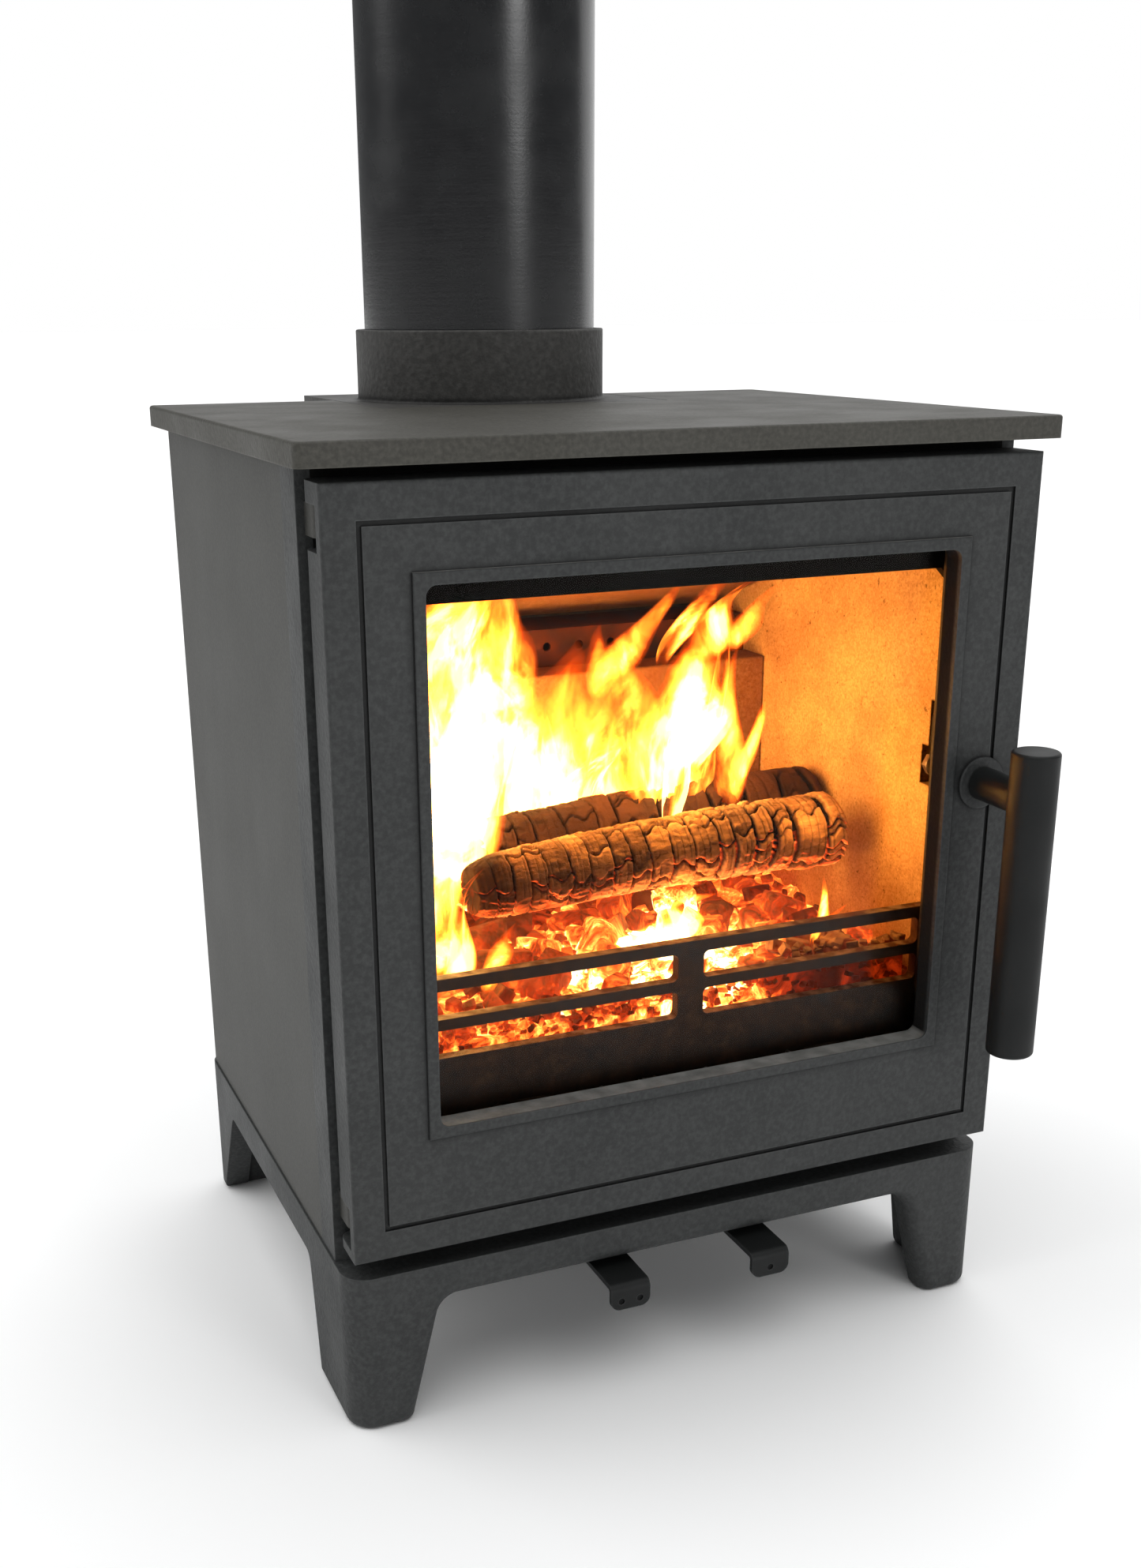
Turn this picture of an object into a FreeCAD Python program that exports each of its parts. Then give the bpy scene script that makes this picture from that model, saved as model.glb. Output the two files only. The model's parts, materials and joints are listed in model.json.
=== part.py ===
import FreeCAD, Part
import os

import Sketcher
from FreeCAD import Placement, Rotation, Vector

# A compact wood burning stove on a cast stand, with a glazed door and a top-mounted flue.
# Frame: X to the right, Y to the back, Z up, Z = 0 on the floor, X = 0 on the stove's centre line.
# Lengths are in millimetres.

DIMENSIONS = {
    # body shell
    "front_plane": -126.0,
    "body_width": 352.5,
    "body_depth": 254.0,
    "body_bottom": 83.0,
    "body_top": 447.9,
    "wall": 5.0,
    "back_thickness": 7.0,
    "frame_depth": 22.0,
    "flange": 6.0,
    "mouth_half": 148.5,
    "mouth_bottom": 112.0,
    "mouth_top": 389.5,
    "mouth_chamfer": 9.0,
    "fit_gap": 0.5,
    # top plate and flue outlet
    "top_width": 366.3,
    "top_front_overhang": 28.2,
    "top_back_overhang": 14.0,
    "top_thickness": 10.4,
    "gasket_thickness": 2.0,
    "gasket_width": 5.0,
    "flue_centre": 251.0,
    "flue_plate_front": 180.0,
    "flue_plate_back": 330.5,
    "flue_plate_half": 80.5,
    "flue_plate_thickness": 10.0,
    "flue_ledge": 7.5,
    "flue_ledge_front": 4.5,
    "collar_radius": 68.5,
    "collar_top": 497.2,
    "socket_radius": 65.1,
    "socket_floor": 462.0,
    "pipe_radius": 63.5,
    "pipe_wall": 2.0,
    "pipe_length": 250.0,
    "mouth_radius": 64.0,
    "mouth_depth": 44.0,
    "mouth_shoulder": 4.0,
    "flue_box_bottom": 385.0,
    "flue_flange_half": 90.0,
    "flue_flange_top": 444.0,
    # stand
    "base_width": 354.5,
    "base_front_overhang": 22.5,
    "base_back_edge": 265.6,
    "base_wall": 14.0,
    "base_corner": 13.0,
    "base_ledge": 8.0,
    "rail_bottom": 63.5,
    "leg_foot_half": 146.0,
    "leg_top_half": 129.9,
    "arch_fillet": 11.0,
    "side_arch_fillet": 7.0,
    "front_leg_foot": 33.0,
    "front_leg_top": 46.0,
    "rear_leg_top": 212.5,
    "rear_leg_foot": 249.6,
    "foot_round": 4.0,
    # door
    "door_width": 347.6,
    "door_bottom": 94.3,
    "door_top": 444.2,
    "door_front": 26.8,
    "door_back": 1.6,
    "door_back_round": 6.0,
    "groove_half": 159.0,
    "groove_bottom": 109.0,
    "groove_top": 429.0,
    "groove_width": 2.2,
    "groove_depth": 1.3,
    "bead_width": 5.5,
    "bead_height": 1.5,
    "window_half": 131.0,
    "window_bottom": 157.0,
    "window_top": 402.0,
    "glass_lap": 8.0,
    "glass_thickness": 4.0,
    "glass_front": 15.5,
    "glass_seal": 1.0,
    "rope_left": 158.0,
    "rope_right": 169.5,
    "rope_bottom": 100.0,
    "rope_top": 438.0,
    "rope_width": 8.0,
    "rope_channel": 5.0,
    "clip_x": 80.0,
    "clip_width": 20.0,
    "clip_reach": 16.0,
    "clip_thickness": 2.0,
    # hinges
    "hinge_x": -167.3,
    "hinge_y": 11.0,
    "notch_skin": 20.5,
    "notch_inner": -161.5,
    "upper_notch_bottom": 416.3,
    "upper_notch_top": 435.2,
    "lower_notch_bottom": 99.0,
    "lower_notch_top": 120.6,
    "lug_height": 13.4,
    "lug_radius": 5.3,
    "pin_radius": 3.0,
    "pin_stand": 5.2,
    "running_gap": 0.06,
    "thrust_gap": 0.3,
    # handle and latch
    "spindle_x": 152.5,
    "spindle_z": 288.4,
    "spindle_radius": 6.0,
    "bush_radius": 8.0,
    "boss_radius": 13.0,
    "neck_radius": 8.25,
    "bar_radius": 11.5,
    "bar_y": 67.0,
    "bar_bottom": 161.0,
    "bar_top": 313.0,
    "thread_radius": 3.0,
    "cam_front": 6.8,
    "cam_thickness": 4.0,
    "cam_reach": 27.0,
    "cam_half_width": 4.5,
    "keeper_edge": 158.1,
    "keeper_outer": 166.0,
    "keeper_bottom": 297.4,
    "keeper_top": 320.0,
    # hearth and firebox
    "shelf_bottom": 140.0,
    "shelf_thickness": 6.0,
    "brick_face": 148.0,
    "brick_side": 170.5,
    "back_brick_front": 180.0,
    "back_brick_thickness": 24.0,
    "back_brick_top": 315.0,
    "duct_front": 205.0,
    "duct_back": 245.0,
    "duct_top": 336.0,
    "sheet": 2.0,
    "throat_front": 55.0,
    "throat_low": 337.4,
    "throat_high": 406.6,
    "throat_thickness": 21.3,
    "fence_half": 147.0,
    "fence_top": 217.5,
    "fence_thickness": 6.0,
    "grate_half": 95.0,
    "grate_front": 37.0,
    "grate_back": 145.0,
    "pan_half": 130.0,
    "pan_front": 10.0,
    "pan_back": 195.0,
    "pan_bottom": 100.0,
    "pan_height": 26.0,
    "pan_wall": 1.5,
    # air controls
    "slide_x": 39.0,
    "slide_width": 21.0,
    "slide_top": 59.5,
    "slide_thickness": 2.5,
    "lip_front": 38.5,
    "lip_bottom": 46.0,
    "shutter_half": 30.0,
    "shutter_front": 40.0,
    "shutter_back": 90.0,
    "air_box_half": 78.0,
    "air_box_front": 36.0,
    "air_box_back": 118.0,
    "dimple_radius": 1.7,
    "dimple_depth": 1.4,
}


class Size:
    """A length that knows its value and the sheet expression that gives it."""

    def __init__(self, value, text):
        self.value = value
        self.text = text

    def combine(self, other, sign, value):
        return Size(value, "(%s %s %s)" % (self.text, sign, other.text))

    def __add__(self, other):
        other = as_size(other)
        return self.combine(other, "+", self.value + other.value)

    def __sub__(self, other):
        other = as_size(other)
        return self.combine(other, "-", self.value - other.value)

    def __mul__(self, other):
        other = as_size(other)
        return self.combine(other, "*", self.value * other.value)

    def __truediv__(self, other):
        other = as_size(other)
        return self.combine(other, "/", self.value / other.value)

    def __neg__(self):
        return Size(-self.value, "(0 - %s)" % self.text)


def as_size(number):
    """A plain number as a Size."""
    if isinstance(number, Size):
        return number
    return Size(float(number), "%.6f" % number if number >= 0 else "(0 - %.6f)" % -number)


def dim(alias):
    """The named driving dimension."""
    return Size(DIMENSIONS[alias], "dims." + alias)


doc = FreeCAD.newDocument("wood_stove")
subparts = []


def fill_sheet():
    """The sheet of driving dimensions, one named row each."""
    sheet = doc.addObject("Spreadsheet::Sheet", "dims")
    for row, (alias, value) in enumerate(DIMENSIONS.items(), start=1):
        sheet.set("A%d" % row, alias.replace("_", " "))
        sheet.set("B%d" % row, str(value))
        sheet.setAlias("B%d" % row, alias)
    doc.recompute()


def bind(thing, prop, size):
    """Ties one property of an object to the sheet."""
    thing.setExpression(prop, as_size(size).text)


def bind_base(thing, x, y, z):
    """Ties an object's position to the sheet."""
    for letter, size in zip("xyz", (x, y, z)):
        bind(thing, "Placement.Base." + letter, size)


def keep(thing, label):
    """Lists an object as a finished sub-part."""
    thing.Label = label
    subparts.append(thing)
    return thing


# ---------------------------------------------------------------- Part primitives and booleans

def box(name, x, y, z):
    """A block between the given limits along X, Y and Z."""
    block = doc.addObject("Part::Box", name)
    bind(block, "Length", as_size(x[1]) - x[0])
    bind(block, "Width", as_size(y[1]) - y[0])
    bind(block, "Height", as_size(z[1]) - z[0])
    bind_base(block, x[0], y[0], z[0])
    return block


AXIS_TURN = {
    "X": Rotation(Vector(0, 1, 0), 90),
    "Y": Rotation(Vector(1, 0, 0), -90),
    "Z": Rotation(),
}


def rod(name, axis, radius, start, length):
    """A cylinder that runs from its start point along +X, +Y or +Z."""
    cylinder = doc.addObject("Part::Cylinder", name)
    cylinder.Placement = Placement(Vector(), AXIS_TURN[axis])
    bind(cylinder, "Radius", radius)
    bind(cylinder, "Height", length)
    bind_base(cylinder, *start)
    return cylinder


def cone(name, low_radius, high_radius, start, length):
    """An upright cone that runs from its start point along +Z."""
    frustum = doc.addObject("Part::Cone", name)
    bind(frustum, "Radius1", low_radius)
    bind(frustum, "Radius2", high_radius)
    bind(frustum, "Height", length)
    bind_base(frustum, *start)
    return frustum


def hexagon(name, axis, circumradius, start, length):
    """A hexagonal prism that runs from its start point along +Y or +Z."""
    prism_object = doc.addObject("Part::Prism", name)
    prism_object.Polygon = 6
    prism_object.Placement = Placement(Vector(), AXIS_TURN[axis])
    bind(prism_object, "Circumradius", circumradius)
    bind(prism_object, "Height", length)
    bind_base(prism_object, *start)
    return prism_object


def fuse(name, *shapes):
    """One solid from several that touch."""
    joined = doc.addObject("Part::MultiFuse", name)
    joined.Shapes = list(shapes)
    joined.Refine = True
    return joined


def cut(name, base, *tools):
    """A base with one or more tools taken out of it."""
    tool = tools[0] if len(tools) == 1 else fuse(name + "_tools", *tools)
    remainder = doc.addObject("Part::Cut", name)
    remainder.Base = base
    remainder.Tool = tool
    remainder.Refine = True
    return remainder


def group(name, shapes):
    """Separate solids that share one node."""
    compound = doc.addObject("Part::Compound", name)
    compound.Links = list(shapes)
    return compound


def easing(name, base, radius, wanted):
    """Rounds the edges of a Part shape that the test picks."""
    doc.recompute()
    rounded = doc.addObject("Part::Fillet", name)
    rounded.Base = base
    numbers = [i + 1 for i, edge in enumerate(base.Shape.Edges) if wanted(edge)]
    rounded.Edges = [(number, as_size(radius).value, as_size(radius).value) for number in numbers]
    return rounded


# ---------------------------------------------------------------- PartDesign helpers

# Each sketch plane: the role of the body's origin plane and the sense of its normal along its axis.
PLANES = {"XY": ("XY_Plane", 1), "XZ": ("XZ_Plane", -1), "YZ": ("YZ_Plane", 1)}


def new_body(label):
    """A PartDesign body that becomes one sub-part."""
    return keep(doc.addObject("PartDesign::Body", label), label)


def rectangle(low_u, high_u, low_v, high_v):
    """The four corners of a rectangle in a sketch."""
    return [(low_u, low_v), (high_u, low_v), (high_u, high_v), (low_u, high_v)]


def add_polygon(sketch, corners):
    """A closed outline of straight lines, each corner placed from the sheet."""
    first = sketch.GeometryCount
    count = len(corners)
    points = [Vector(as_size(u).value, as_size(v).value, 0) for u, v in corners]
    for i in range(count):
        sketch.addGeometry(Part.LineSegment(points[i], points[(i + 1) % count]))
    for i in range(count):
        following = first + (i + 1) % count
        sketch.addConstraint(Sketcher.Constraint("Coincident", first + i, 2, following, 1))
    for i, (u, v) in enumerate(corners):
        add_distance(sketch, "DistanceX", first + i, 1, u)
        add_distance(sketch, "DistanceY", first + i, 1, v)


def add_circle(sketch, centre, radius):
    """A circle placed and sized from the sheet."""
    number = sketch.GeometryCount
    middle = Vector(as_size(centre[0]).value, as_size(centre[1]).value, 0)
    sketch.addGeometry(Part.Circle(middle, Vector(0, 0, 1), as_size(radius).value))
    add_distance(sketch, "DistanceX", number, 3, centre[0])
    add_distance(sketch, "DistanceY", number, 3, centre[1])
    index = sketch.addConstraint(Sketcher.Constraint("Radius", number, as_size(radius).value))
    sketch.setExpression("Constraints[%d]" % index, as_size(radius).text)


def add_distance(sketch, kind, geometry, point, size):
    """One signed distance of a point from the sketch's origin."""
    size = as_size(size)
    index = sketch.addConstraint(Sketcher.Constraint(kind, -1, 1, geometry, point, size.value))
    sketch.setExpression("Constraints[%d]" % index, size.text)


def prism(body, name, plane, span, polygons=(), circles=(), removes=False):
    """A Pad, or a Pocket when it removes, of a sketch between two places along its axis."""
    role, sense = PLANES[plane]
    before = body.Shape.Volume if body.Tip else 0.0
    sketch = body.newObject("Sketcher::SketchObject", name + "_sketch")
    datum = [feature for feature in body.Origin.OriginFeatures if feature.Role == role][0]
    sketch.AttachmentSupport = [(datum, "")]
    sketch.MapMode = "FlatFace"
    starts_low = (sense > 0) != removes
    start = as_size(span[0] if starts_low else span[1])
    bind(sketch, "AttachmentOffset.Base.z", start if sense > 0 else -start)
    for corners in polygons:
        add_polygon(sketch, corners)
    for centre, radius in circles:
        add_circle(sketch, centre, radius)
    feature = body.newObject("PartDesign::Pocket" if removes else "PartDesign::Pad", name)
    feature.Profile = sketch
    bind(feature, "Length", as_size(span[1]) - span[0])
    doc.recompute()
    change = body.Shape.Volume - before
    if removes == (change > 0) or abs(change) < 1e-6:
        raise RuntimeError("%s changed the volume the wrong way" % name)
    return feature


def round_edges(body, name, radius, wanted):
    """A PartDesign fillet on the edges that the test picks."""
    base = body.Tip
    names = ["Edge%d" % (i + 1) for i, edge in enumerate(base.Shape.Edges) if wanted(edge)]
    if not names:
        raise RuntimeError("%s found no edges" % name)
    feature = body.newObject("PartDesign::Fillet", name)
    feature.Base = (base, names)
    bind(feature, "Radius", radius)
    doc.recompute()
    if "Invalid" in feature.State or not feature.Shape.isValid():
        raise RuntimeError("%s could not be rounded" % name)
    return feature


def runs_along(edge, axis):
    """Whether a straight edge lies along one axis."""
    if not isinstance(edge.Curve, Part.Line):
        return False
    return abs(abs(edge.Curve.Direction.dot(axis)) - 1) < 1e-6


def lies_at(edge, **places):
    """Whether the middle of an edge is at the given coordinates."""
    middle = edge.BoundBox.Center
    return all(abs(getattr(middle, letter) - as_size(size).value) < 0.05
               for letter, size in places.items())


def is_ring(edge, radius, height):
    """Whether an edge is part of a level circle of the given radius and height."""
    if not isinstance(edge.Curve, Part.Circle):
        return False
    size_matches = abs(edge.Curve.Radius - as_size(radius).value) < 0.01
    return size_matches and abs(edge.Curve.Center.z - as_size(height).value) < 0.01


ALONG_X = Vector(1, 0, 0)
ALONG_Y = Vector(0, 1, 0)
ALONG_Z = Vector(0, 0, 1)


# ---------------------------------------------------------------- places used by many sub-parts

FRONT = dim("front_plane")
BACK = FRONT + dim("body_depth")
HALF_BODY = dim("body_width") / 2
INNER_SIDE = HALF_BODY - dim("wall")
BACK_PANEL_FRONT = BACK - dim("back_thickness")
TOP_UNDERSIDE = dim("body_top") + dim("gasket_thickness")
TOP_SURFACE = TOP_UNDERSIDE + dim("top_thickness")
FLUE_Y = FRONT + dim("flue_centre")
FLOOR_TOP = dim("body_bottom") + dim("wall")
SHELF_TOP = dim("shelf_bottom") + dim("shelf_thickness")
DOOR_FRONT = FRONT - dim("door_front")
DOOR_BACK = FRONT - dim("door_back")
HALF_DOOR = dim("door_width") / 2
GLASS_FRONT = FRONT - dim("glass_front")
GLASS_BACK = GLASS_FRONT + dim("glass_thickness")
GLASS_HALF = dim("window_half") + dim("glass_lap")
GLASS_BOTTOM = dim("window_bottom") - dim("glass_lap")
GLASS_TOP = dim("window_top") + dim("glass_lap")
HINGE_Y = FRONT - dim("hinge_y")
SPINDLE = (dim("spindle_x"), dim("spindle_z"))
SLIDE_BOTTOM = dim("slide_top") - dim("slide_thickness")
AIR_BOX_BOTTOM = dim("slide_top") + dim("fit_gap")
SIDES = {"left": -1, "right": 1}


def on_side(side, near, far):
    """A span in X between two distances from the centre line, on one side of the stove."""
    return (as_size(near), as_size(far)) if side > 0 else (-as_size(far), -as_size(near))


# ---------------------------------------------------------------- stand and body shell

BASE_BOLT_X = 145.0
BASE_BOLT_Y = (16.0, 236.0)
BOLT_RADIUS = 4.0


def base_bolt_places():
    """The four bolts that hold the floor plate down on the stand."""
    return [(BASE_BOLT_X * side, FRONT + y) for side in (-1, 1) for y in BASE_BOLT_Y]


def make_base_stand():
    """The cast stand: a rail all round on four tapered legs of angle section."""
    body = new_body("base_stand")
    half = dim("base_width") / 2
    front = FRONT - dim("base_front_overhang")
    back = FRONT + dim("base_back_edge")
    top = dim("body_bottom")
    below = as_size(-1)
    prism(body, "stand_block", "XY", (0, top), [rectangle(-half, half, front, back)])
    round_edges(body, "stand_corners", dim("base_corner"), lambda edge: runs_along(edge, ALONG_Z))
    arch = [(-dim("leg_foot_half"), below), (dim("leg_foot_half"), below),
            (dim("leg_top_half"), dim("rail_bottom")), (-dim("leg_top_half"), dim("rail_bottom"))]
    prism(body, "front_arch", "XZ", (front - 1, back + 1), [arch], removes=True)
    round_edges(body, "front_arch_corners", dim("arch_fillet"),
                lambda edge: runs_along(edge, ALONG_Y) and lies_at(edge, z=dim("rail_bottom")))
    side_arch = [(FRONT + dim("front_leg_foot"), below), (FRONT + dim("rear_leg_foot"), below),
                 (FRONT + dim("rear_leg_top"), dim("rail_bottom")),
                 (FRONT + dim("front_leg_top"), dim("rail_bottom"))]
    prism(body, "side_arch", "YZ", (-half - 1, half + 1), [side_arch], removes=True)
    round_edges(body, "side_arch_corners", dim("side_arch_fillet"),
                lambda edge: runs_along(edge, ALONG_X) and lies_at(edge, z=dim("rail_bottom")))
    round_edges(body, "foot_rounding", dim("foot_round"), lambda edge: lies_at(edge, z=0))
    wall = dim("base_wall")
    hollow = rectangle(-half + wall, half - wall, front + wall, back - wall)
    prism(body, "stand_hollow", "XY", (below, top - dim("base_ledge")), [hollow], removes=True)
    throat = rectangle(-120, 120, FRONT + 30, FRONT + 225)
    prism(body, "stand_throat", "XY", (0, top + 1), [throat], removes=True)
    bolts = [((x, y), BOLT_RADIUS) for x, y in base_bolt_places()]
    prism(body, "stand_bolt_holes", "XY", (0, top + 1), circles=bolts, removes=True)


def make_base_bolts():
    """Hexagon bolts driven up through the stand's ledge into the floor plate."""
    ledge = dim("body_bottom") - dim("base_ledge")
    bolts = []
    for i, (x, y) in enumerate(base_bolt_places()):
        head = hexagon("base_bolt_head_%d" % i, "Z", 7.5, (x, y, ledge - 5.3), 5.3)
        shank = rod("base_bolt_shank_%d" % i, "Z", BOLT_RADIUS, (x, y, ledge), FLOOR_TOP - ledge)
        bolts.append(fuse("base_bolt_%d" % i, head, shank))
    keep(group("base_bolt_group", bolts), "base_bolts")


def make_floor_plate():
    """The steel floor of the body, with an air hole over each half of the air box."""
    plate = box("floor_blank", (-INNER_SIDE, INNER_SIDE), (FRONT + dim("flange"), BACK_PANEL_FRONT),
                (dim("body_bottom"), FLOOR_TOP))
    depth = (dim("body_bottom") - 1, FLOOR_TOP + 1)
    tools = [box("floor_air_hole_%s" % name, on_side(side, 22, 56), (FRONT + 50, FRONT + 106), depth)
             for name, side in SIDES.items()]
    tools += [rod("floor_bolt_hole_%d" % i, "Z", BOLT_RADIUS, (x, y, depth[0]), 7)
              for i, (x, y) in enumerate(base_bolt_places())]
    keep(cut("floor_plate_cut", plate, *tools), "floor_plate")


def make_side_panels():
    """The two plain steel side panels, behind the front frame."""
    for name, side in SIDES.items():
        panel = box("side_blank_%s" % name, on_side(side, INNER_SIDE, HALF_BODY),
                    (FRONT + dim("frame_depth"), BACK_PANEL_FRONT),
                    (dim("body_bottom"), dim("body_top")))
        keep(panel, "side_panel_%s" % name)


FLUE_BOLT_X = 81.5
FLUE_BOLT_Z = (396.0, 432.0)
FLUE_BOLT_RADIUS = 3.0


def flue_bolt_places():
    """The four bolts that hold the flue box on the back panel."""
    return [(FLUE_BOLT_X * side, z) for side in (-1, 1) for z in FLUE_BOLT_Z]


def make_back_panel():
    """The back panel, open at its top where the flue gas passes into the flue box."""
    body = new_body("back_panel")
    half = dim("flue_plate_half") - dim("flue_ledge") - dim("wall")
    low = dim("flue_box_bottom") + dim("wall")
    top = dim("body_top")
    outline = [(-HALF_BODY, dim("body_bottom")), (HALF_BODY, dim("body_bottom")), (HALF_BODY, top),
               (half, top), (half, low), (-half, low), (-half, top), (-HALF_BODY, top)]
    prism(body, "back_plate", "XZ", (BACK_PANEL_FRONT, BACK), [outline])
    bolts = [((x, z), FLUE_BOLT_RADIUS) for x, z in flue_bolt_places()]
    prism(body, "flue_bolt_holes", "XZ", (BACK_PANEL_FRONT - 1, BACK + 1), circles=bolts, removes=True)


def mouth_outline():
    """The opening in the front frame, with clipped upper corners and the latch notch at its right."""
    half = dim("mouth_half")
    clip = dim("mouth_chamfer")
    low, high = dim("mouth_bottom"), dim("mouth_top")
    hub_bottom = dim("spindle_z") - 9
    hub_edge = dim("spindle_x") + 8.5
    return [(-half, low), (half, low), (half, hub_bottom), (hub_edge, hub_bottom),
            (hub_edge, dim("keeper_bottom")), (dim("keeper_outer"), dim("keeper_bottom")),
            (dim("keeper_outer"), dim("keeper_top")), (half, dim("keeper_top")),
            (half, high - clip), (half - clip, high), (-half + clip, high), (-half, high - clip)]


def make_front_frame():
    """The cast front frame: a flange that the door seals on, and two side returns."""
    body = new_body("front_frame")
    span = (dim("body_bottom"), dim("body_top"))
    face = rectangle(-HALF_BODY, HALF_BODY, span[0], span[1])
    prism(body, "frame_flange", "XZ", (FRONT, FRONT + dim("flange")), [face, mouth_outline()])
    for name, side in SIDES.items():
        low, high = on_side(side, INNER_SIDE, HALF_BODY)
        prism(body, "frame_return_%s" % name, "XZ", (FRONT + 1, FRONT + dim("frame_depth")),
              [rectangle(low, high, span[0], span[1])])


def make_latch_keeper():
    """The hardened keeper in the frame's latch notch, with a ramp on its inner corner."""
    body = new_body("latch_keeper")
    ramp = 2.0
    edge, outer = dim("keeper_edge"), dim("keeper_outer")
    back = FRONT + dim("flange")
    outline = [(edge, FRONT), (outer, FRONT), (outer, back), (edge + ramp, back), (edge, back - ramp)]
    prism(body, "keeper_block", "XY", (dim("keeper_bottom"), dim("keeper_top")), [outline])


def make_top_gasket():
    """The flat seal between the top plate and the body, open at the back for the flue."""
    body = new_body("top_gasket")
    outer, width = HALF_BODY - 0.5, dim("gasket_width")
    inner = outer - width
    front, back = FRONT + 0.5, BACK - 1
    gap = dim("flue_plate_half")
    outline = [(-outer, front), (outer, front), (outer, back), (gap, back), (gap, back - width),
               (inner, back - width), (inner, front + width), (-inner, front + width),
               (-inner, back - width), (-gap, back - width), (-gap, back), (-outer, back)]
    prism(body, "gasket_strip", "XY", (dim("body_top"), TOP_UNDERSIDE), [outline])


TOP_BOLT_X = 162.0
TOP_BOLT_Y = (34.0, 225.0)


def top_bolt_places():
    """The four bolts under the top plate, one in each inner corner."""
    return [(side, y) for side in (-1, 1) for y in TOP_BOLT_Y]


def make_top_plate():
    """The cast top plate, with a stepped notch at the back that the flue outlet lies in."""
    body = new_body("top_plate")
    half = dim("top_width") / 2
    front = FRONT - dim("top_front_overhang")
    back = BACK + dim("top_back_overhang")
    prism(body, "top_slab", "XY", (TOP_UNDERSIDE, TOP_SURFACE), [rectangle(-half, half, front, back)])
    round_edges(body, "top_corners", 4, lambda edge: runs_along(edge, ALONG_Z))
    round_edges(body, "top_easing", 1.5, lambda edge: lies_at(edge, z=TOP_SURFACE))
    notch_half = dim("flue_plate_half") + 1
    notch_front = FRONT + dim("flue_plate_front") - 1
    ledge_half = notch_half - dim("flue_ledge")
    ledge_front = notch_front + dim("flue_ledge_front")
    middle = TOP_UNDERSIDE + dim("top_thickness") / 2
    prism(body, "top_notch", "XY", (middle, TOP_SURFACE + 1),
          [rectangle(-notch_half, notch_half, notch_front, back + 1)], removes=True)
    prism(body, "top_ledge", "XY", (TOP_UNDERSIDE - 1, middle + 1),
          [rectangle(-ledge_half, ledge_half, ledge_front, back + 1)], removes=True)
    bolts = [((TOP_BOLT_X * side, FRONT + y), BOLT_RADIUS) for side, y in top_bolt_places()]
    prism(body, "top_bolt_holes", "XY", (TOP_UNDERSIDE - 1, TOP_UNDERSIDE + 7), circles=bolts,
          removes=True)


def make_top_fixings():
    """Brackets on the side panels, and the bolts that draw the top plate down on its gasket."""
    brackets = []
    bolts = []
    high = dim("body_top")
    for i, (side, y) in enumerate(top_bolt_places()):
        x, y = TOP_BOLT_X * side, FRONT + y
        blank = box("top_bracket_blank_%d" % i, on_side(side, 152, INNER_SIDE), (y - 10, y + 10),
                    (high - 8, high))
        hole = rod("top_bracket_hole_%d" % i, "Z", BOLT_RADIUS, (x, y, high - 9), 10)
        brackets.append(cut("top_bracket_%d" % i, blank, hole))
        head = hexagon("top_bolt_head_%d" % i, "Z", 7.5, (x, y, high - 13.3), 5.3)
        shank = rod("top_bolt_shank_%d" % i, "Z", BOLT_RADIUS, (x, y, high - 8), 16)
        bolts.append(fuse("top_bolt_%d" % i, head, shank))
    keep(group("top_bracket_group", brackets), "top_plate_brackets")
    keep(group("top_bolt_group", bolts), "top_plate_bolts")


# ---------------------------------------------------------------- flue

def make_flue_collar():
    """The flue outlet: a stepped plate let into the top plate, with a round socket for the pipe."""
    body = new_body("flue_collar")
    half = dim("flue_plate_half")
    front = FRONT + dim("flue_plate_front")
    back = FRONT + dim("flue_plate_back")
    low = TOP_SURFACE - dim("flue_plate_thickness")
    middle = TOP_SURFACE - dim("flue_plate_thickness") / 2
    inner = half - dim("flue_ledge")
    prism(body, "outlet_plate", "XY", (middle, TOP_SURFACE), [rectangle(-half, half, front, back)])
    prism(body, "outlet_step", "XY", (low, middle),
          [rectangle(-inner, inner, front + dim("flue_ledge_front"), back)])
    centre = (0, FLUE_Y)
    prism(body, "collar_ring", "XY", (TOP_SURFACE - 1, dim("collar_top")),
          circles=[(centre, dim("collar_radius"))])
    bore = dim("pipe_radius") - dim("pipe_wall")
    prism(body, "flue_bore", "XY", (low - 1, dim("collar_top") + 1), circles=[(centre, bore)],
          removes=True)
    prism(body, "pipe_socket", "XY", (dim("socket_floor"), dim("collar_top") + 1),
          circles=[(centre, dim("socket_radius"))], removes=True)
    round_edges(body, "collar_foot", 1.5, lambda edge: is_ring(edge, dim("collar_radius"), TOP_SURFACE))
    round_edges(body, "collar_lip", 1,
                lambda edge: is_ring(edge, dim("collar_radius"), dim("collar_top")))


def make_flue_box():
    """The cast box behind the back panel that the rear half of the outlet stands on."""
    body = new_body("flue_box")
    outer = dim("flue_plate_half") - dim("flue_ledge")
    inner = outer - dim("wall")
    back = FRONT + dim("flue_plate_back")
    top = TOP_SURFACE - dim("flue_plate_thickness")
    low = dim("flue_box_bottom")
    flange = dim("flue_flange_half")
    prism(body, "flue_box_block", "XY", (low, top), [rectangle(-outer, outer, BACK, back)])
    prism(body, "flue_box_flange", "XZ", (BACK, BACK + dim("wall")),
          [rectangle(-flange, flange, low - 13, dim("flue_flange_top"))])
    prism(body, "flue_box_hollow", "XY", (low + dim("wall"), top + 1),
          [rectangle(-inner, inner, BACK - 1, back - dim("wall"))], removes=True)
    bolts = [((x, z), FLUE_BOLT_RADIUS) for x, z in flue_bolt_places()]
    prism(body, "flue_box_bolt_holes", "XZ", (BACK - 1, BACK + 6), circles=bolts, removes=True)


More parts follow.
